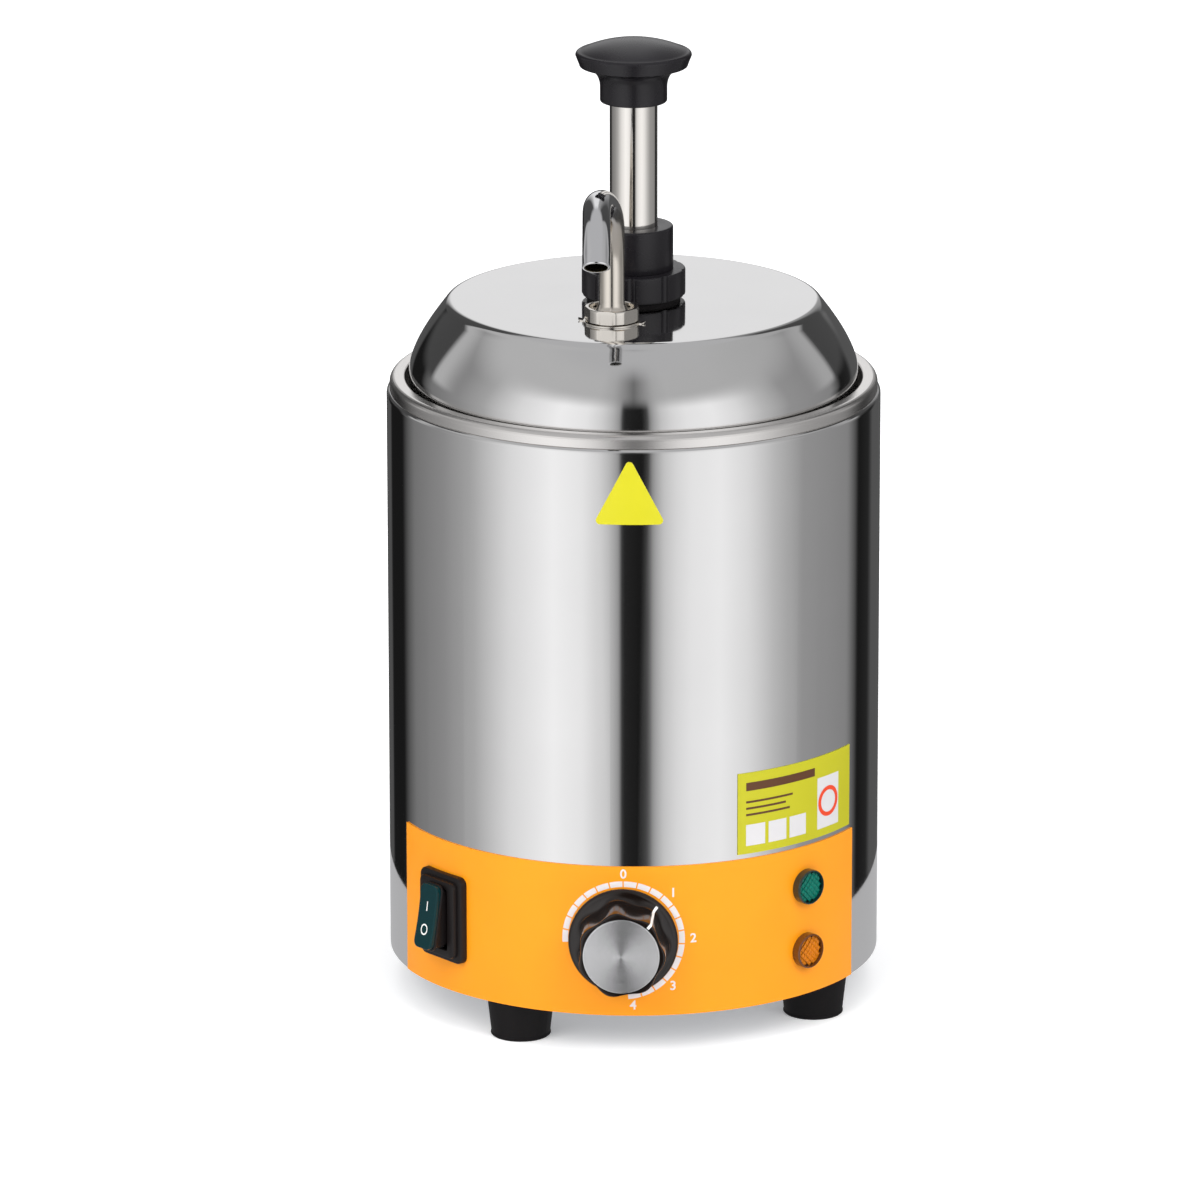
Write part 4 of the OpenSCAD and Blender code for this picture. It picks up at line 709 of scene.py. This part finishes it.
shoulder = curve((SKIRT - 1.5 * MM, FLARE_LOW), (GRIP + 0.8 * MM, 3.1 * MM), (FLARE_R, FLARE_TOP), 14)
shoulder += [(FLARE_R + (FRONT - FLARE_R) * k / 7, FLARE_TOP + (DEPTH - EDGE - FLARE_TOP) * k / 7)
             for k in range(1, 7)]
shoulder += curve((FRONT, DEPTH - EDGE), (FRONT, DEPTH), (FRONT - EDGE, DEPTH), 6)
shoulder += [(CAP_R + 0.35 * MM, DEPTH)]
profile = [(POCKET_R, BACK), (SKIRT - 0.4 * MM, BACK)]
profile += curve((SKIRT, 1.3 * MM), (SKIRT, 2.3 * MM), (SKIRT - 1.5 * MM, FLARE_LOW), 6)[:-1] + shoulder
profile += [(CAP_R + 0.1 * MM, DEPTH - 0.25 * MM), (CAP_R + 0.05 * MM, DEPTH - SEAT),
            (SHAFT_R, DEPTH - SEAT), (SHAFT_R, POCKET), (POCKET_R, POCKET)]
bm = turned(profile, steps=420)
reshape(bm, gripped)
carry(bm, to_dial)
finish_piece("dial_grip", bm, FINISH["dial_black"], "dial", ["dial_knob"])

# %% Dial cap
top, rim = DEPTH + 0.8 * MM, CAP_R - 0.02 * MM
profile = [(0, DEPTH - SEAT), (rim, DEPTH - SEAT)]
profile += curve((rim, top - 0.5 * MM), (rim, top), (CAP_R - 0.5 * MM, top), 5) + [(0, top)]
bm = turned(profile, steps=256)
carry(bm, to_dial)
finish_piece("dial_disc", bm, FINISH["spun_aluminium"], "dial", ["dial_cap"])

# %% [markdown]
# The pointer is a painted line that runs up the skirt and over a lobe. It follows the same shoulder curve
# as the grip, so it lies close everywhere.

# %% Dial pointer
def ribbon(bm, points, width, lift):
    """A flat painted line along points, a hair's breadth proud of what carries it."""
    rows = []
    for i, p in enumerate(points):
        before, after = Vector(points[max(i - 1, 0)]), Vector(points[min(i + 1, len(points) - 1)])
        side = (after - before).cross(Vector((1, 0, 0))).normalized() * lift
        rows.append([bm.verts.new(Vector(p) + side + Vector((w, 0, 0))) for w in (-width / 2, width / 2)])
    for a, b in zip(rows, rows[1:]):
        bm.faces.new((a[0], a[1], b[1], b[0]))


bm = bmesh.new()
ribbon(bm, [(0, r, z) for r, z in shoulder], 1.1 * MM, 0.12 * MM)
bmesh.ops.solidify(bm, geom=bm.faces[:], thickness=0.05 * MM)
carry(bm, to_dial)
finish_piece("pointer_line", bm, FINISH["white_mark"], "dial", ["dial_pointer"])

# %% [markdown]
# ## Printed marks on the film
# The scale is a broken ring round the dial, and plain numbers stand at its steps. Marks are drawn flat
# and wrapped onto the film, a few hundredths of a millimetre proud of it.

# %% Scale round the dial
INK = 0.012 * MM


def print_piece(name, bm, azimuth, z, radius, material):
    """Wraps a flat drawing onto the wall as a thin print."""
    slice_upright(bm, 2.0 * MM)
    wrap(bm, azimuth, z, radius + INK)
    return finish_piece(name, bm, material, "warmer", angle=60)


def arc_tile(bm, inner, outer, start, end, steps=4):
    """A piece of a flat ring between two angles in degrees, spun clockwise from its first edge."""
    a = math.radians(start)
    ends = [bm.verts.new((r * math.sin(a), r * math.cos(a), 0)) for r in (inner, outer)]
    bmesh.ops.spin(bm, geom=[*ends, bm.edges.new(ends)], cent=(0, 0, 0), axis=(0, 0, -1),
                   angle=math.radians(end - start), steps=steps)


SCALE_IN, SCALE_OUT, FIRST, PITCH_DEG, TILES, GAP = 21.9 * MM, 24.2 * MM, -95.0, 13.55, 20, 0.7
bm = bmesh.new()
for k in range(TILES):
    arc_tile(bm, SCALE_IN, SCALE_OUT, FIRST + PITCH_DEG * k + GAP, FIRST + PITCH_DEG * (k + 1) - GAP)
print_piece("dial_scale", bm, 0, dial_z, film_r, FINISH["print_pale"])


# %% Numbers
def digits(bm, text, size, x, y):
    """Adds plain numbers, centred on a point of the flat drawing."""
    data = bpy.data.curves.new("digits", "FONT")
    data.body, data.size, data.offset = text, size, 0.02 * size
    data.align_x, data.align_y = "CENTER", "CENTER"
    data.resolution_u = 4
    shape = bpy.data.objects.new("digits", data)
    bpy.context.scene.collection.objects.link(shape)
    bpy.context.view_layer.update()
    mesh = bpy.data.meshes.new_from_object(shape.evaluated_get(bpy.context.evaluated_depsgraph_get()))
    old = set(bm.verts)
    bm.from_mesh(mesh)
    bmesh.ops.translate(bm, verts=[v for v in bm.verts if v not in old], vec=(x, y, 0))
    bpy.data.objects.remove(shape)
    bpy.data.curves.remove(data)
    bpy.data.meshes.remove(mesh)


FIGURE, OUT, UP = 5.2 * MM, 27.6 * MM, 27.0 * MM
bm = bmesh.new()
for number, step in (("0", 0), ("1", 45), ("2", 90), ("3", 135), ("4", 172)):
    a = math.radians(step)
    digits(bm, number, FIGURE, OUT * math.sin(a), UP * math.cos(a))
print_piece("dial_numbers", bm, 0, dial_z, film_r, FINISH["print_pale"])

# %% [markdown]
# ## Rocker switch
# The frame is a moulded brim with a raised lip. The rocker stands well proud of it in tinted plastic, and
# carries the standard marks for on and off.

# %% Switch frame
SWITCH_AZIMUTH, SWITCH_W, SWITCH_H, BRIM, LIP = -47.0, 25.0 * MM, 35.5 * MM, 2.2 * MM, 4.4 * MM
frame_low, frame_high = span("switch_frame")
switch_z = (frame_low.z + frame_high.z) / 2
to_switch = wall_matrix(SWITCH_AZIMUTH, film_r, switch_z)
WINDOW_W, WINDOW_H, WINDOW_CORNER, WINDOW_LIP = 12.6 * MM, 24.6 * MM, 0.6 * MM, 0.9 * MM


def rounded(width, length, corner, z, grown=0.0):
    """The points of a rectangle with round corners that is grown on every side."""
    points = []
    for cx, cy, first in ((1, 1, 0), (-1, 1, 90), (-1, -1, 180), (1, -1, 270)):
        for k in range(9):
            a = math.radians(first + 90 * k / 8)
            points.append((cx * (width / 2 + grown - corner) + corner * math.cos(a),
                           cy * (length / 2 + grown - corner) + corner * math.sin(a), z))
    return points


def framed(bm, width, length, low, high, corner, soft):
    """A round-cornered frame with a soft brim around the rocker's window."""
    foot = rounded(WINDOW_W, WINDOW_H, WINDOW_CORNER, low)
    loft(bm, [foot,
              rounded(width, length, corner, low),
              rounded(width, length, corner, high - soft),
              rounded(width, length, corner, high - 0.3 * soft, grown=-0.3 * soft),
              rounded(width, length, corner - 0.5 * soft, high, grown=-soft),
              rounded(WINDOW_W, WINDOW_H, WINDOW_LIP, high, grown=0.6 * soft),
              rounded(WINDOW_W, WINDOW_H, WINDOW_CORNER, high - 0.6 * soft),
              foot])


bm = bmesh.new()
framed(bm, SWITCH_W, SWITCH_H, low=-1.6 * MM, high=BRIM, corner=3.0 * MM, soft=0.6 * MM)
framed(bm, SWITCH_W - 2 * BRIM, SWITCH_H - 2 * BRIM, low=BRIM - 0.2 * MM, high=LIP, corner=2.5 * MM, soft=0.7 * MM)
carry(bm, to_switch)
reshape(bm, lambda r, z, angle: max(r, film_r))
finish_piece("frame_moulding", bm, FINISH["black_plastic"], "warmer", ["switch_frame"])

# %% [markdown]
# The rocker's front is slightly hollow, with soft edges. A flat grid is pushed into the rounded outline,
# its rim is pulled down into sides and then bevelled, so one helper makes the tinted cap and its black body.

# %% Rocker
LEAN, PIVOT, ROCKER_W, HEAD, HEAD_RISE, ENDS, MIDDLE, SPLIT = -10.0, 2.6, 11.6, 13.4, 4.6, 7.6, 7.0, 5.4
to_rocker = to_switch @ Matrix.Translation((0, 0, PIVOT * MM)) @ Matrix.Rotation(math.radians(LEAN), 4, "X")


def rocker_z(y):
    """The hollowed front of the rocker: lowest in the middle, highest at its ends."""
    return MIDDLE + (ENDS - MIDDLE) * (abs(y) / HEAD) ** 1.6


def cushion(bm, half_w, half_l, corner, low, top, soft=0.0, across=8, along=16):
    """A block with round corners and a hollowed, softly edged top, from a grid pushed into shape."""
    made = bmesh.ops.create_grid(bm, x_segments=across, y_segments=along, size=1.0)["verts"]
    for v in made:
        x, y = v.co.x * half_w, v.co.y * half_l
        over_x, over_y = max(0.0, abs(x) - (half_w - corner)), max(0.0, abs(y) - (half_l - corner))
        out = math.hypot(over_x, over_y)
        if over_x > 0 and over_y > 0:
            k = max(over_x, over_y) / out
            x = math.copysign(half_w - corner + over_x * k, x)
            y = math.copysign(half_l - corner + over_y * k, y)
        v.co = Vector((x, y, top(y)))
    rim = [e for e in bm.edges if len(e.link_faces) == 1 and e.verts[0] in set(made)]
    skirt = bmesh.ops.extrude_edge_only(bm, edges=rim)["geom"]
    down = [g for g in skirt if isinstance(g, bmesh.types.BMVert)]
    for v in down:
        v.co.z = low
    hem = [g for g in skirt if isinstance(g, bmesh.types.BMEdge) and g.verts[0] in down and g.verts[1] in down]
    bmesh.ops.contextual_create(bm, geom=hem)
    if soft:
        edge = [e for e in rim if e.is_valid]
        bmesh.ops.bevel(bm, geom=edge, offset=soft, segments=5, profile=0.5, affect="EDGES", material=-1,
                        clamp_overlap=True)


bm = bmesh.new()
cushion(bm, ROCKER_W / 2 - 0.6, HEAD - 0.5, corner=2.8, low=SPLIT - 0.6, top=rocker_z, soft=0.9,
        across=16, along=36)
carry(bm, to_rocker @ Matrix.Scale(MM, 4))
finish_piece("rocker_cap", bm, FINISH["green_lens"], "rocker", ["rocker_lens"], angle=50)

bm = bmesh.new()
cushion(bm, ROCKER_W / 2 - 0.02, HEAD - 0.02, corner=2.8, low=HEAD_RISE, top=lambda y: SPLIT + 0.1, soft=0.5,
        across=16, along=24)
cushion(bm, ROCKER_W / 2 - 0.05, 10.6, corner=1.0, low=-4.0, top=lambda y: HEAD_RISE + 0.1)
cushion(bm, ROCKER_W / 2 - 0.1, 11.7, corner=1.4, low=0.4, top=lambda y: HEAD_RISE + 0.15)
carry(bm, to_rocker @ Matrix.Scale(MM, 4))
finish_piece("rocker_body", bm, FINISH["black_plastic"], "rocker", ["switch_rocker"], angle=40)


# %% Marks for on and off
def flat_ring(bm, inner, outer, place, stretch=1.0, steps=40):
    """A flat ring spun from one edge, stretched upright and put in its place."""
    ends = [bm.verts.new((r, 0, 0)) for r in (inner, outer)]
    bmesh.ops.spin(bm, geom=[*ends, bm.edges.new(ends)], cent=(0, 0, 0), axis=(0, 0, 1), angle=math.tau,
                   steps=steps, use_merge=True)
    carry(bm, Matrix.Translation(place) @ Matrix.Diagonal((1, stretch, 1, 1)))


bm = bmesh.new()
flat_ring(bm, 1.45, 1.95, (0, -5.2, 0), 1.15)
bmesh.ops.create_grid(bm, x_segments=1, y_segments=6, size=1.0,
                      matrix=Matrix.Translation((0, 4.2, 0)) @ Matrix.Diagonal((0.26, 1.9, 1, 1)))
for v in bm.verts:
    v.co.z = rocker_z(v.co.y) + 0.04
carry(bm, to_rocker @ Matrix.Scale(MM, 4))
finish_piece("rocker_marks", bm, FINISH["white_mark"], "rocker")

# %% [markdown]
# ## Lamps
# Each lamp is a waffle of small pyramids that rise in a gentle dome, in a dark ring. The pyramids are modelled,
# because their glints are what tells a lamp from a painted dot.

# %% Signal lamps
LAMP_AZIMUTH, LAMP_R, LAMP_PROUD, DIAGONAL = 46.0, 7.0 * MM, 3.4 * MM, 1.414


def waffle(bm, radius, pitch, depth, low, high):
    """A disc of small square pyramids under a gentle dome, their corners to the right and upward."""
    across = pitch * DIAGONAL
    count = int(2 * radius / across) + 1
    for i in range(-count, count + 1):
        for j in range(-count, count + 1):
            x, y = (i + 0.5 * (j % 2)) * across, j * across / 2
            if math.hypot(x, y) > radius:
                continue
            lift = high - (high - low) * (math.hypot(x, y) / radius) ** 2
            bmesh.ops.create_cone(bm, segments=4, radius1=across / 2, radius2=0, depth=depth,
                                  matrix=Matrix.Translation((x, y, lift + depth / 2)))
    mill(bm, lambda a: radius + 0.15 * MM)


for name, body_finish, ring_finish, slot_name in (("power_lamp_lens", "green_lamp", "green_ring", "green_lamp"),
                                                  ("heat_lamp_lens", "amber_lamp", "amber_ring", "amber_lamp")):
    low, high = span(name)
    to_lamp = wall_matrix(LAMP_AZIMUTH, film_r, (low.z + high.z) / 2)
    inner = LAMP_R - 0.9 * MM
    profile = [(0, 0.4 * MM), (0, LAMP_PROUD - 1.2 * MM)]
    profile += [(inner, LAMP_PROUD - 1.9 * MM), (inner + 0.1 * MM, LAMP_PROUD - 0.35 * MM)]
    profile += curve((inner + 0.25 * MM, LAMP_PROUD), (LAMP_R, LAMP_PROUD), (LAMP_R, LAMP_PROUD - 1.2 * MM), 8)
    profile += [(LAMP_R, -0.25 * MM)]
    bm = turned(profile[::-1], steps=96)
    carry(bm, to_lamp)
    finish_piece(name + "_ring", bm, FINISH[ring_finish], "warmer", [name])
    bm = bmesh.new()
    waffle(bm, inner, pitch=1.75 * MM, depth=0.5 * MM, low=LAMP_PROUD - 1.6 * MM, high=LAMP_PROUD - 0.65 * MM)
    carry(bm, to_lamp)
    finish_piece(name + "_waffle", bm, FINISH[body_finish], "warmer", angle=10)

# %% [markdown]
# ## Stickers
# The label carries no words or pictures: a broad band, a few lines and plain blocks stand in for them,
# laid out in a way of their own. The triangle is bare.

# %% Label
label_low, label_high = span("label_sticker")
LABEL_AZIMUTH, LABEL_W = 44.8, 35.8
label_z = (label_low.z + label_high.z) / 2
half_w, half_h = math.radians(LABEL_W) * casing_r / 2, (label_high.z - label_low.z) / 2


def panel(bm, x, y, width, height):
    """A flat rectangle, its place given from the label's lower left corner in millimetres."""
    matrix = Matrix.Translation((-half_w + (x + width / 2) * MM, -half_h + (y + height / 2) * MM, 0))
    bmesh.ops.create_grid(bm, x_segments=1, y_segments=1, size=0.5 * MM,
                          matrix=matrix @ Matrix.Diagonal((width, height, 1, 1)))


label_r = casing_r + 0.3 * MM
LEFT, FOOT_LINE, BLOCK, BLOCK_PITCH, LINE_PITCH = 3.5, 3.2, 8.6, 10.2, 2.6
bm = bmesh.new()
panel(bm, LEFT, 25.6, width=34.0, height=3.4)
for k, wide in enumerate((22.0, 18.5, 20.5)):
    panel(bm, LEFT, 20.6 - LINE_PITCH * k, width=wide, height=0.9)
print_piece("label_lines", bm, LABEL_AZIMUTH, label_z, label_r, FINISH["label_ink"])

bm = bmesh.new()
for k in range(3):
    panel(bm, LEFT + BLOCK_PITCH * k, FOOT_LINE, width=BLOCK, height=BLOCK)
panel(bm, 39.0, FOOT_LINE, width=13.5, height=21.0)
print_piece("label_blocks", bm, LABEL_AZIMUTH, label_z, label_r, FINISH["label_white"])

bm = bmesh.new()
flat_ring(bm, 4.5 * MM, 6.2 * MM, (45.75 * MM - half_w, 13.7 * MM - half_h, 0.04 * MM))
print_piece("label_ring", bm, LABEL_AZIMUTH, label_z, label_r, FINISH["label_red"])

# %% [markdown]
# ## The studio
# Polished steel is a picture of the room. Two soft boxes stand left and right of the camera, the camera
# makes a dark gap between them, and black flags stand behind each side. All of that is painted on the
# world by direction, and only shiny surfaces see it. The camera itself sees plain white.

# %% Boxes and flags round the object
CAMERA_AZIMUTH = 2.35
world = bpy.data.worlds.new("Studio")
bpy.context.scene.world = world
world.use_nodes = True
tree = world.node_tree
tree.nodes.clear()


def ramp_node(stops):
    """A ramp of light levels over the angle round the object, 0 at the camera."""
    node = add(tree, "ShaderNodeValToRGB")
    ramp = node.color_ramp
    while len(ramp.elements) < len(stops):
        ramp.elements.new(0.5)
    for element, (angle, level) in zip(ramp.elements, stops):
        element.position = (angle + 180) / 360
        element.color = (level, level, level * 1.01, 1)
    return node


SIDES = [(-180, 0.08), (-158, 0.08), (-155, 0.01), (-137, 0.01), (-131, 0.10), (-124, 0.19), (-100, 0.28),
         (-82, 0.41), (-60, 0.78), (-38, 1.0), (-24, 0.91), (-16, 0.73), (-10.5, 0.52), (-7, 0.33),
         (-5.5, 0.02), (4.5, 0.01), (7, 0.06), (8, 0.24), (9.5, 0.37), (14, 0.62), (20, 0.78), (27, 0.89),
         (41, 0.95), (55, 0.80), (69, 0.54), (86, 0.32), (119, 0.25), (126, 0.10), (130, 0.01), (143, 0.02),
         (149, 0.09), (180, 0.09)]
ABOVE = [(-180, 0.82), (-172, 0.80), (-160, 0.07), (-128, 0.06), (-124, 0.46), (-90, 0.49), (-50, 0.50), (-20, 0.49),
         (-12, 0.42), (0, 0.16), (12, 0.42), (20, 0.47), (50, 0.47), (90, 0.43), (124, 0.40), (128, 0.06),
         (150, 0.07), (160, 0.28), (168, 0.35), (172, 0.82), (180, 0.82)]
coord = add(tree, "ShaderNodeTexCoord")
turn = add(tree, "ShaderNodeMapping", vector_type="POINT", Rotation=(0, 0, math.radians(90 - CAMERA_AZIMUTH)))
split = add(tree, "ShaderNodeSeparateXYZ")
angle = add(tree, "ShaderNodeMath", operation="ARCTAN2")
place = add(tree, "ShaderNodeMapRange", From_Min=-math.pi, From_Max=math.pi)
sides, above = ramp_node(SIDES), ramp_node(ABOVE)
wire(tree,
     (coord, "Generated", turn, "Vector"),
     (turn, "Vector", split, "Vector"),
     (split, "Y", angle, 0),
     (split, "X", angle, 1),
     (angle, "Value", place, "Value"),
     (place, "Result", sides, "Fac"),
     (place, "Result", above, "Fac"))
print("studio stops:", len(SIDES), "round the sides,", len(ABOVE), "above")

# %% [markdown]
# The sides give way to the ceiling higher up, and behind the object already near the horizon, where the
# flat lid mirrors a bright back wall. Straight overhead the ceiling is plain.

# %% From the sides up to the ceiling
def between(low, high, source, out):
    """Goes softly from 0 to 1 while the source's output goes from low to high."""
    node = add(tree, "ShaderNodeMapRange", interpolation_type="SMOOTHSTEP", From_Min=low, From_Max=high)
    wire(tree, (source, out, node, "Value"))
    return node


# Heights go by the direction's Z, which is 0 at the horizon and 1 overhead.
backwards = add(tree, "ShaderNodeMath", operation="MULTIPLY")
backwards.inputs[1].default_value = -1.0
risen = add(tree, "ShaderNodeMath", operation="MULTIPLY")
height = add(tree, "ShaderNodeMath", operation="MAXIMUM")
blend_up = colour_mix(tree)
blend_top = colour_mix(tree, b=(0.47, 0.47, 0.48))
wire(tree,
     (split, "X", backwards, 0),
     (between(0.0, 0.12, split, "Z"), "Result", risen, 0),
     (between(0.2, 0.5, backwards, "Value"), "Result", risen, 1),
     (between(0.40, 0.64, split, "Z"), "Result", height, 0),
     (risen, "Value", height, 1),
     (height, "Value", blend_up, "Factor"),
     (sides, "Color", blend_up, MIX_A),
     (above, "Color", blend_up, MIX_B),
     (between(0.74, 0.86, split, "Z"), "Result", blend_top, "Factor"),
     (blend_up, MIXED, blend_top, MIX_A))

# %% [markdown]
# The world then answers by the kind of ray. The camera, and whatever it sees through glass, gets plain
# white. Shiny surfaces get the studio, and everything else gets one even grey.

# %% White for the camera, the studio for the steel
path = add(tree, "ShaderNodeLightPath")
seen_white = add(tree, "ShaderNodeMath", operation="MAXIMUM")
for_gloss = colour_mix(tree, a=(0.50, 0.50, 0.51))
for_camera = colour_mix(tree, b=(1, 1, 1))
background = add(tree, "ShaderNodeBackground", Strength=1.0)
output = add(tree, "ShaderNodeOutputWorld")
wire(tree,
     (path, "Is Glossy Ray", for_gloss, "Factor"),
     (blend_top, MIXED, for_gloss, MIX_B),
     (path, "Is Camera Ray", seen_white, 0),
     (path, "Is Transmission Ray", seen_white, 1),
     (seen_white, "Value", for_camera, "Factor"),
     (for_gloss, MIXED, for_camera, MIX_A),
     (for_camera, MIXED, background, "Color"),
     (background, "Background", output, "Surface"))

# %% [markdown]
# The floor is pale and matt. It keeps the soft shadow under the feet, and the polished sides look past
# it to the studio, because a real product table is cut away just outside the picture.

# %% Floor
def studio_piece(name, bm, material):
    """An object that belongs to the studio and isn't part of the warmer."""
    mesh = bpy.data.meshes.new(name)
    bm.to_mesh(mesh)
    bm.free()
    mesh.materials.append(material)
    piece = bpy.data.objects.new(name, mesh)
    bpy.context.scene.collection.objects.link(piece)
    return piece


FLOOR_HALF = 6.0
floor_material, tree, shader = new_material("Pale floor", Roughness=0.9, Base_Color=(0.93, 0.93, 0.93, 1),
                                            Emission_Color=(1, 1, 1, 1))
path = add(tree, "ShaderNodeLightPath")
glow = add(tree, "ShaderNodeMath", operation="MULTIPLY")
coord = add(tree, "ShaderNodeTexCoord")
away = add(tree, "ShaderNodeVectorMath", operation="LENGTH")
# The glow goes by the distance from the object: near and far in metres, and its strength at each.
fade = add(tree, "ShaderNodeMapRange", interpolation_type="SMOOTHSTEP", From_Min=0.2, From_Max=0.9, To_Min=0.22,
           To_Max=0.75)
wire(tree,
     (coord, "Object", away, 0),
     (away, "Value", fade, "Value"),
     (path, "Is Camera Ray", glow, 0),
     (fade, "Result", glow, 1),
     (glow, "Value", shader, "Emission Strength"))
bm = bmesh.new()
bmesh.ops.create_grid(bm, x_segments=1, y_segments=1, size=FLOOR_HALF)
floor = studio_piece("floor", bm, floor_material)
floor.visible_glossy = False
floor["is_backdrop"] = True

# %% [markdown]
# The low part of each polished side shows the near table instead of the dark flags. The table's round
# edge makes the curved line between the two. Only shiny surfaces see this disc, and it is cut in front.

# %% Table seen by the steel
TABLE_R, CUT_AT, BELOW = 0.21, -0.08, 1 * MM
table_material, tree, shader = new_material("Table in the steel", Roughness=0.9, Base_Color=(0, 0, 0, 1),
                                            Emission_Color=(0.45, 0.45, 0.46, 1), Emission_Strength=1.0)
bm = bmesh.new()
bmesh.ops.create_circle(bm, cap_ends=True, segments=128, radius=TABLE_R)
bmesh.ops.bisect_plane(bm, geom=bm.verts[:] + bm.edges[:] + bm.faces[:], plane_co=(0, CUT_AT, 0),
                       plane_no=(0, -1, 0), clear_outer=True)
table = studio_piece("table", bm, table_material)
table.location = (0, 0, -BELOW)
table.visible_camera = table.visible_diffuse = table.visible_transmission = table.visible_shadow = False
table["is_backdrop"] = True


# %% [markdown]
# Three weak lamps model what isn't shiny: the black plastic, the orange film and the shadow on the floor.
# The steel doesn't see them, so its bands come from the painted studio alone.

# %% Studio lamps
LAMP_DISTANCE, AIM = 1.6, 0.15


def soft_box(name, azimuth, elevation, size, power):
    """A square lamp that looks at the middle of the casing."""
    data = bpy.data.lights.new(name, "AREA")
    data.shape, data.size, data.energy = "SQUARE", size, power
    lamp = bpy.data.objects.new(name, data)
    a, e = math.radians(azimuth), math.radians(elevation)
    away = Vector((math.sin(a) * math.cos(e), -math.cos(a) * math.cos(e), math.sin(e)))
    lamp.location = away * LAMP_DISTANCE + Vector((0, 0, AIM))
    lamp.rotation_euler = (-away).to_track_quat("-Z", "Y").to_euler()
    lamp.visible_glossy = False
    bpy.context.scene.collection.objects.link(lamp)


soft_box("left_box", azimuth=-40, elevation=35, size=1.1, power=16)
soft_box("right_box", azimuth=42, elevation=35, size=1.1, power=15)
soft_box("top_box", azimuth=5, elevation=80, size=1.4, power=10)

# %% [markdown]
# ## The camera
# The photograph's viewpoint was found from the known height and diameter: about 3.5 m away, looking 16
# degrees down with a long lens, a little to the right of the middle of the panel.

# %% Camera
PHOTO_SIZE = 1200
FOCAL_PIXELS, AXIS_X, SENSOR = 9165, 633.6, 36
DISTANCE, HEIGHT, PITCH = 3.498, 1.166, 16.09
camera_data = bpy.data.cameras.new("camera")
camera_data.sensor_width = SENSOR
camera_data.lens = FOCAL_PIXELS / PHOTO_SIZE * camera_data.sensor_width
camera_data.shift_x = (PHOTO_SIZE / 2 - AXIS_X) / PHOTO_SIZE
camera_data.clip_end = 50
camera = bpy.data.objects.new("camera", camera_data)
a = math.radians(CAMERA_AZIMUTH)
camera.location = (DISTANCE * math.sin(a), -DISTANCE * math.cos(a), HEIGHT)
camera.rotation_euler = (math.radians(90 - PITCH), 0, a)
bpy.context.scene.collection.objects.link(camera)
bpy.context.scene.camera = camera
bpy.context.scene.view_settings.view_transform = "Standard"

# %% [markdown]
# Last, the model's size is printed.

# %% Sizes and the end
low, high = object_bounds()
print("visual size", [round(v, 4) for v in high - low])
